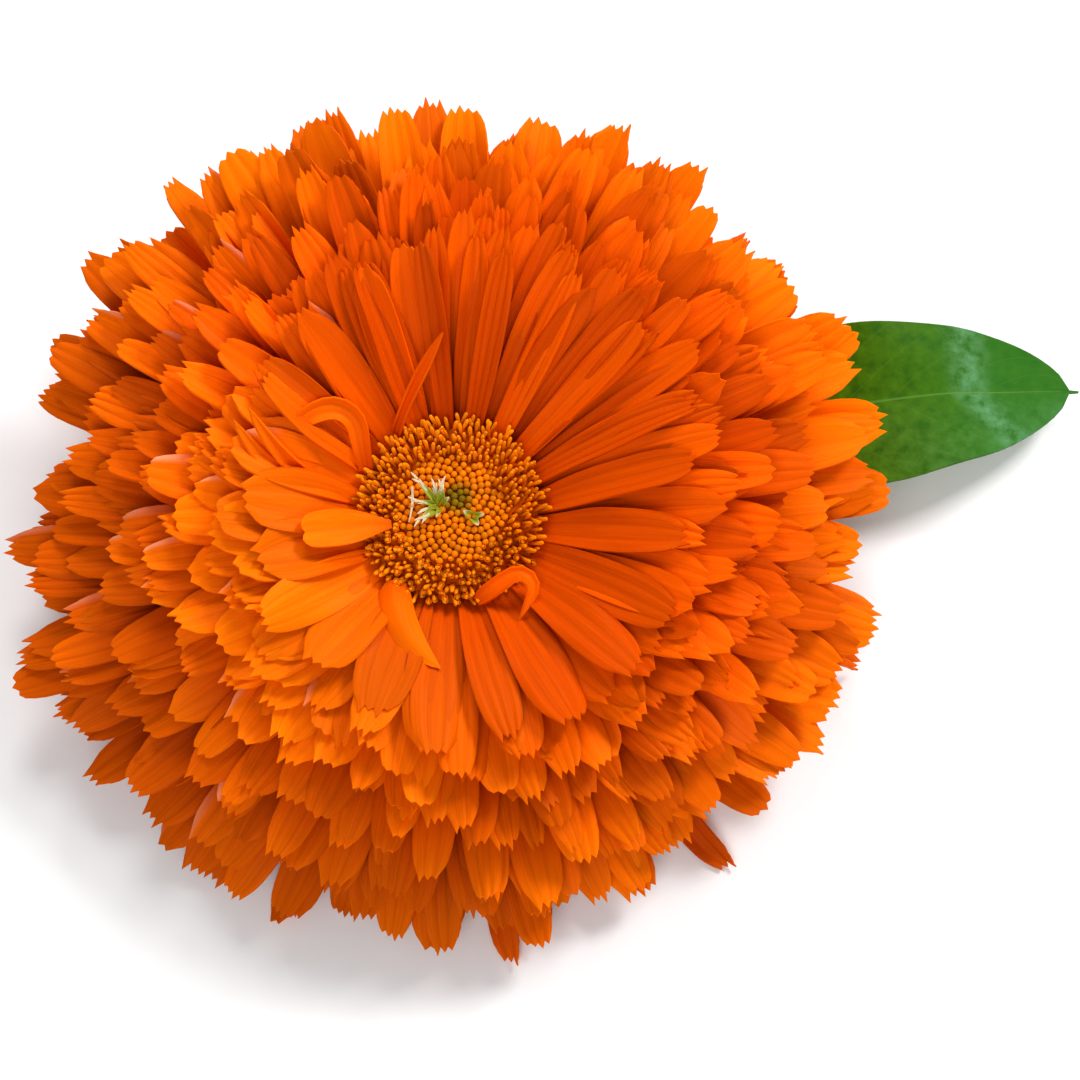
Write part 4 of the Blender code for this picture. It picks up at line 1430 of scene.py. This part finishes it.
def leaf_material(settings):
    """Fresh leaf: waxy upper skin over uneven green tissue, bluer towards its tip, with a pale
    midrib and faint side veins; a whitish painted reflection lies along its step and as a haze on its
    outer lower flank."""
    material, shader, add = new_material("marigold_leaf")
    uv = add("UVMap", uv_map="UVMap")
    along, across, _ = add("SeparateXYZ", {0: uv}).node.outputs
    centred = add("Math", {0: across, 1: 0.5}, operation="SUBTRACT")
    aside = add("Math", {0: centred}, operation="ABSOLUTE")
    swept = add("Math", {0: aside, 1: -0.42, 2: along}, operation="MULTIPLY_ADD")
    repeated = add("Math", {0: swept, 1: 11.0}, operation="MULTIPLY")
    fraction = add("Math", {0: repeated, 1: 0.5}, operation="PINGPONG")
    side_veins = add("MapRange", {0: fraction, 1: 0.0, 2: 0.05, 3: 1.0, 4: 0.0})
    midrib = add("MapRange", {0: aside, 1: 0.003, 2: 0.012, 3: 0.6, 4: 0.0})
    faint = add("Math", {0: side_veins, 1: 0.12}, operation="MULTIPLY")
    veins = add("Math", {0: midrib, 1: faint}, operation="MAXIMUM")
    spot = add("TexCoord")
    noise = {"Vector": spot, "Scale": 1.0 / (1.3 * MM), "Detail": 5.0, "Roughness": 0.6}
    mottle = add("TexNoise", noise)
    greens = [(0.3, linear("#2c4e02")), (0.5, settings.leaf_colour), (0.72, linear("#4a7006"))]
    body = add("ValToRGB", {0: mottle}, stops=greens)
    outward = add("MapRange", {0: along, 1: 0.55, 2: 0.85, 4: 0.7})
    # Painted reflection: a whitish band along the step, where the gloss would catch the light, and a
    # haze over the outer lower flank.
    lower = add("MapRange", {0: across, 1: 0.5, 2: 0.0, 4: 0.08})
    crease = add("Math", {0: along, 1: lower}, operation="SUBTRACT")
    from_crease = add("Math", {0: crease, 1: LEAF_STEP[0]}, operation="SUBTRACT")
    beside = add("Math", {0: from_crease}, operation="ABSOLUTE")
    fade = {0: beside, 1: 0.0, 2: 0.055, 3: 0.8, 4: 0.0}
    painted_gloss_band = add("MapRange", fade, interpolation_type="SMOOTHSTEP")
    flank = add("MapRange", {0: across, 1: 0.45, 2: 0.1, 4: 0.3})
    painted_haze = add("Math", {0: flank, 1: outward}, operation="MULTIPLY")
    waxy = add("Math", {0: painted_gloss_band, 1: painted_haze}, operation="MAXIMUM")
    patchy = add("MapRange", {0: mottle, 1: 0.36, 2: 0.66, 4: 0.5})
    painted_highlight = add("Math", {0: waxy, 1: patchy}, operation="MULTIPLY")
    layers = (
        (outward, linear("#2b6f24")), (painted_highlight, linear("#78b489")), (veins, settings.vein_colour),
    )
    for share, colour in layers:
        body = add("Mix", {0: share, 6: body, 7: colour}, data_type="RGBA")
    depth = add("Math", {0: veins, 1: -1.0, 2: mottle}, operation="MULTIPLY_ADD")
    connect(shader, {
        "Base Color": body,
        "Normal": add("Bump", {"Height": depth, "Strength": 0.5, "Distance": 0.12 * MM}),
        "Roughness": 0.34,
        "IOR": 1.45,
        "Specular IOR Level": 0.02,
    })
    return material


class MARIGOLD_OT_leaf(bpy.types.Operator):
    """Lays the pointed leaf along its arched midrib"""

    bl_idname = "marigold.leaf"
    bl_label = "Leaf"

    def execute(self, context):
        settings = context.scene.marigold_green
        leaf = new_blank("pointed_leaf", LEAF_RINGS, LEAF_COLUMNS)
        lift_columns(leaf, LEAF_COLUMNS, lambda across: LEAF_KEEL * abs(2.0 * across - 1.0) ** 0.8)
        for side, breadth in LEAF_HALVES:
            pick(leaf, lambda place: side * place.y > 0.0)
            scale(1.0, breadth, 1.0)
        size_rings(leaf, LEAF_RINGS, lambda share: (leaf_outline(share) / LEAF_WIDTH,) * 2)
        bpy.ops.object.mode_set(mode="OBJECT")
        start, total, course = stem_course()
        path = path_frames({"base": start, "length": total, "course": course}, Matrix.Identity(4))
        seat = frame_at(path, 1.0 - (1.0 - LEAF_SEAT) * STEM_RUN / total)[0]
        aside = STEM_RADIUS + LEAF_GAP + LEAF_BASE_WIDTH / 2.0
        growth = {
            "base": seat + around(STEM_HEADING - QUARTER_TURN, aside, 0.0),
            "course": leaf_course,
            "length": LEAF_LENGTH,
            "width": LEAF_WIDTH,
            "ruffle": 0.55 * MM,
            "waves": 21.0,
        }
        lay(leaf.data, growth, Matrix.Identity(4))
        finish_sheets([leaf], "pointed_leaf", 0.35 * MM, leaf_material(settings), "leaf", ["leaf"])
        return {"FINISHED"}


class MARIGOLD_OT_stage(bpy.types.Operator):
    """Lays out the plain floor, the soft lights and the camera"""

    bl_idname = "marigold.stage"
    bl_label = "Stage"

    def execute(self, context):
        settings = context.scene.marigold_stage
        clear_selection()
        bpy.ops.mesh.primitive_plane_add(size=FLOOR_SIZE, location=(0.0, 0.0, 0.0))
        floor = context.active_object
        floor.name = "floor"
        material, shader, _ = new_material("plain_floor")
        matt = {"Base Color": settings.floor_colour, "Roughness": 0.9, "Specular IOR Level": 0.1}
        connect(shader, matt)
        floor.data.materials.append(material)
        head = HEAD.translation
        rise, fall = sin(settings.elevation), cos(settings.elevation)
        right, up, back = Vector((1.0, 0.0, 0.0)), Vector((0.0, rise, fall)), Vector((0.0, -fall, rise))
        target = head + right * AIM[0] + up * AIM[1]
        bpy.ops.object.camera_add(
            location=target + back * settings.distance,
            rotation=(QUARTER_TURN - settings.elevation, 0.0, 0.0),
        )
        camera = context.active_object
        camera.data.lens = settings.lens
        camera.data.sensor_width = 36.0
        camera.data.clip_start = 1.0 * MM
        context.scene.camera = camera
        for name, (azimuth, elevation, distance, size, share) in LIGHTS.items():
            pitch = radians(elevation)
            place = head + around(radians(azimuth), cos(pitch), sin(pitch)) * distance
            bpy.ops.object.light_add(type="AREA", location=place)
            light = context.active_object
            light.name = name
            light.data.energy = settings.key_power * share
            light.data.size = size
            light.rotation_euler = (head - place).to_track_quat("-Z", "Y").to_euler()
        world = bpy.data.worlds.new("studio")
        context.scene.world = world
        world.use_nodes = True
        background = world.node_tree.nodes["Background"]
        background.inputs[0].default_value = WHITE
        background.inputs[1].default_value = settings.sky
        context.scene.view_settings.view_transform = "Standard"
        return {"FINISHED"}


SETTINGS = {
    "marigold_petals": PetalSettings,
    "marigold_disc": DiscSettings,
    "marigold_green": GreenSettings,
    "marigold_stage": StageSettings,
}
OPERATORS = (
    MARIGOLD_OT_ray_petals,
    MARIGOLD_OT_old_petals,
    MARIGOLD_OT_stray_petals,
    MARIGOLD_OT_disc_florets,
    MARIGOLD_OT_green_tufts,
    MARIGOLD_OT_receptacle,
    MARIGOLD_OT_bracts,
    MARIGOLD_OT_stem,
    MARIGOLD_OT_leaf,
    MARIGOLD_OT_stage,
)


class MARIGOLD_PT_builder(bpy.types.Panel):
    """Lists the flower's pieces in the order in which they are built"""

    bl_idname = "MARIGOLD_PT_builder"
    bl_label = "Marigold"
    bl_space_type = "VIEW_3D"
    bl_region_type = "UI"
    bl_category = "Marigold"

    def draw(self, context):
        for operator in OPERATORS:
            self.layout.operator(operator.bl_idname)
        for name, group in SETTINGS.items():
            box = self.layout.box()
            for key in group.__annotations__:
                box.prop(getattr(context.scene, name), key)


def register():
    for kind in (*SETTINGS.values(), *OPERATORS, MARIGOLD_PT_builder):
        bpy.utils.register_class(kind)
    for name, group in SETTINGS.items():
        setattr(bpy.types.Scene, name, bpy.props.PointerProperty(type=group))


def unregister():
    for name in SETTINGS:
        delattr(bpy.types.Scene, name)
    for kind in (MARIGOLD_PT_builder, *reversed(OPERATORS), *reversed(SETTINGS.values())):
        bpy.utils.unregister_class(kind)


def main():
    register()
    for operator in OPERATORS:
        group, name = operator.bl_idname.split(".")
        getattr(getattr(bpy.ops, group), name)()


if __name__ == "__main__":
    main()
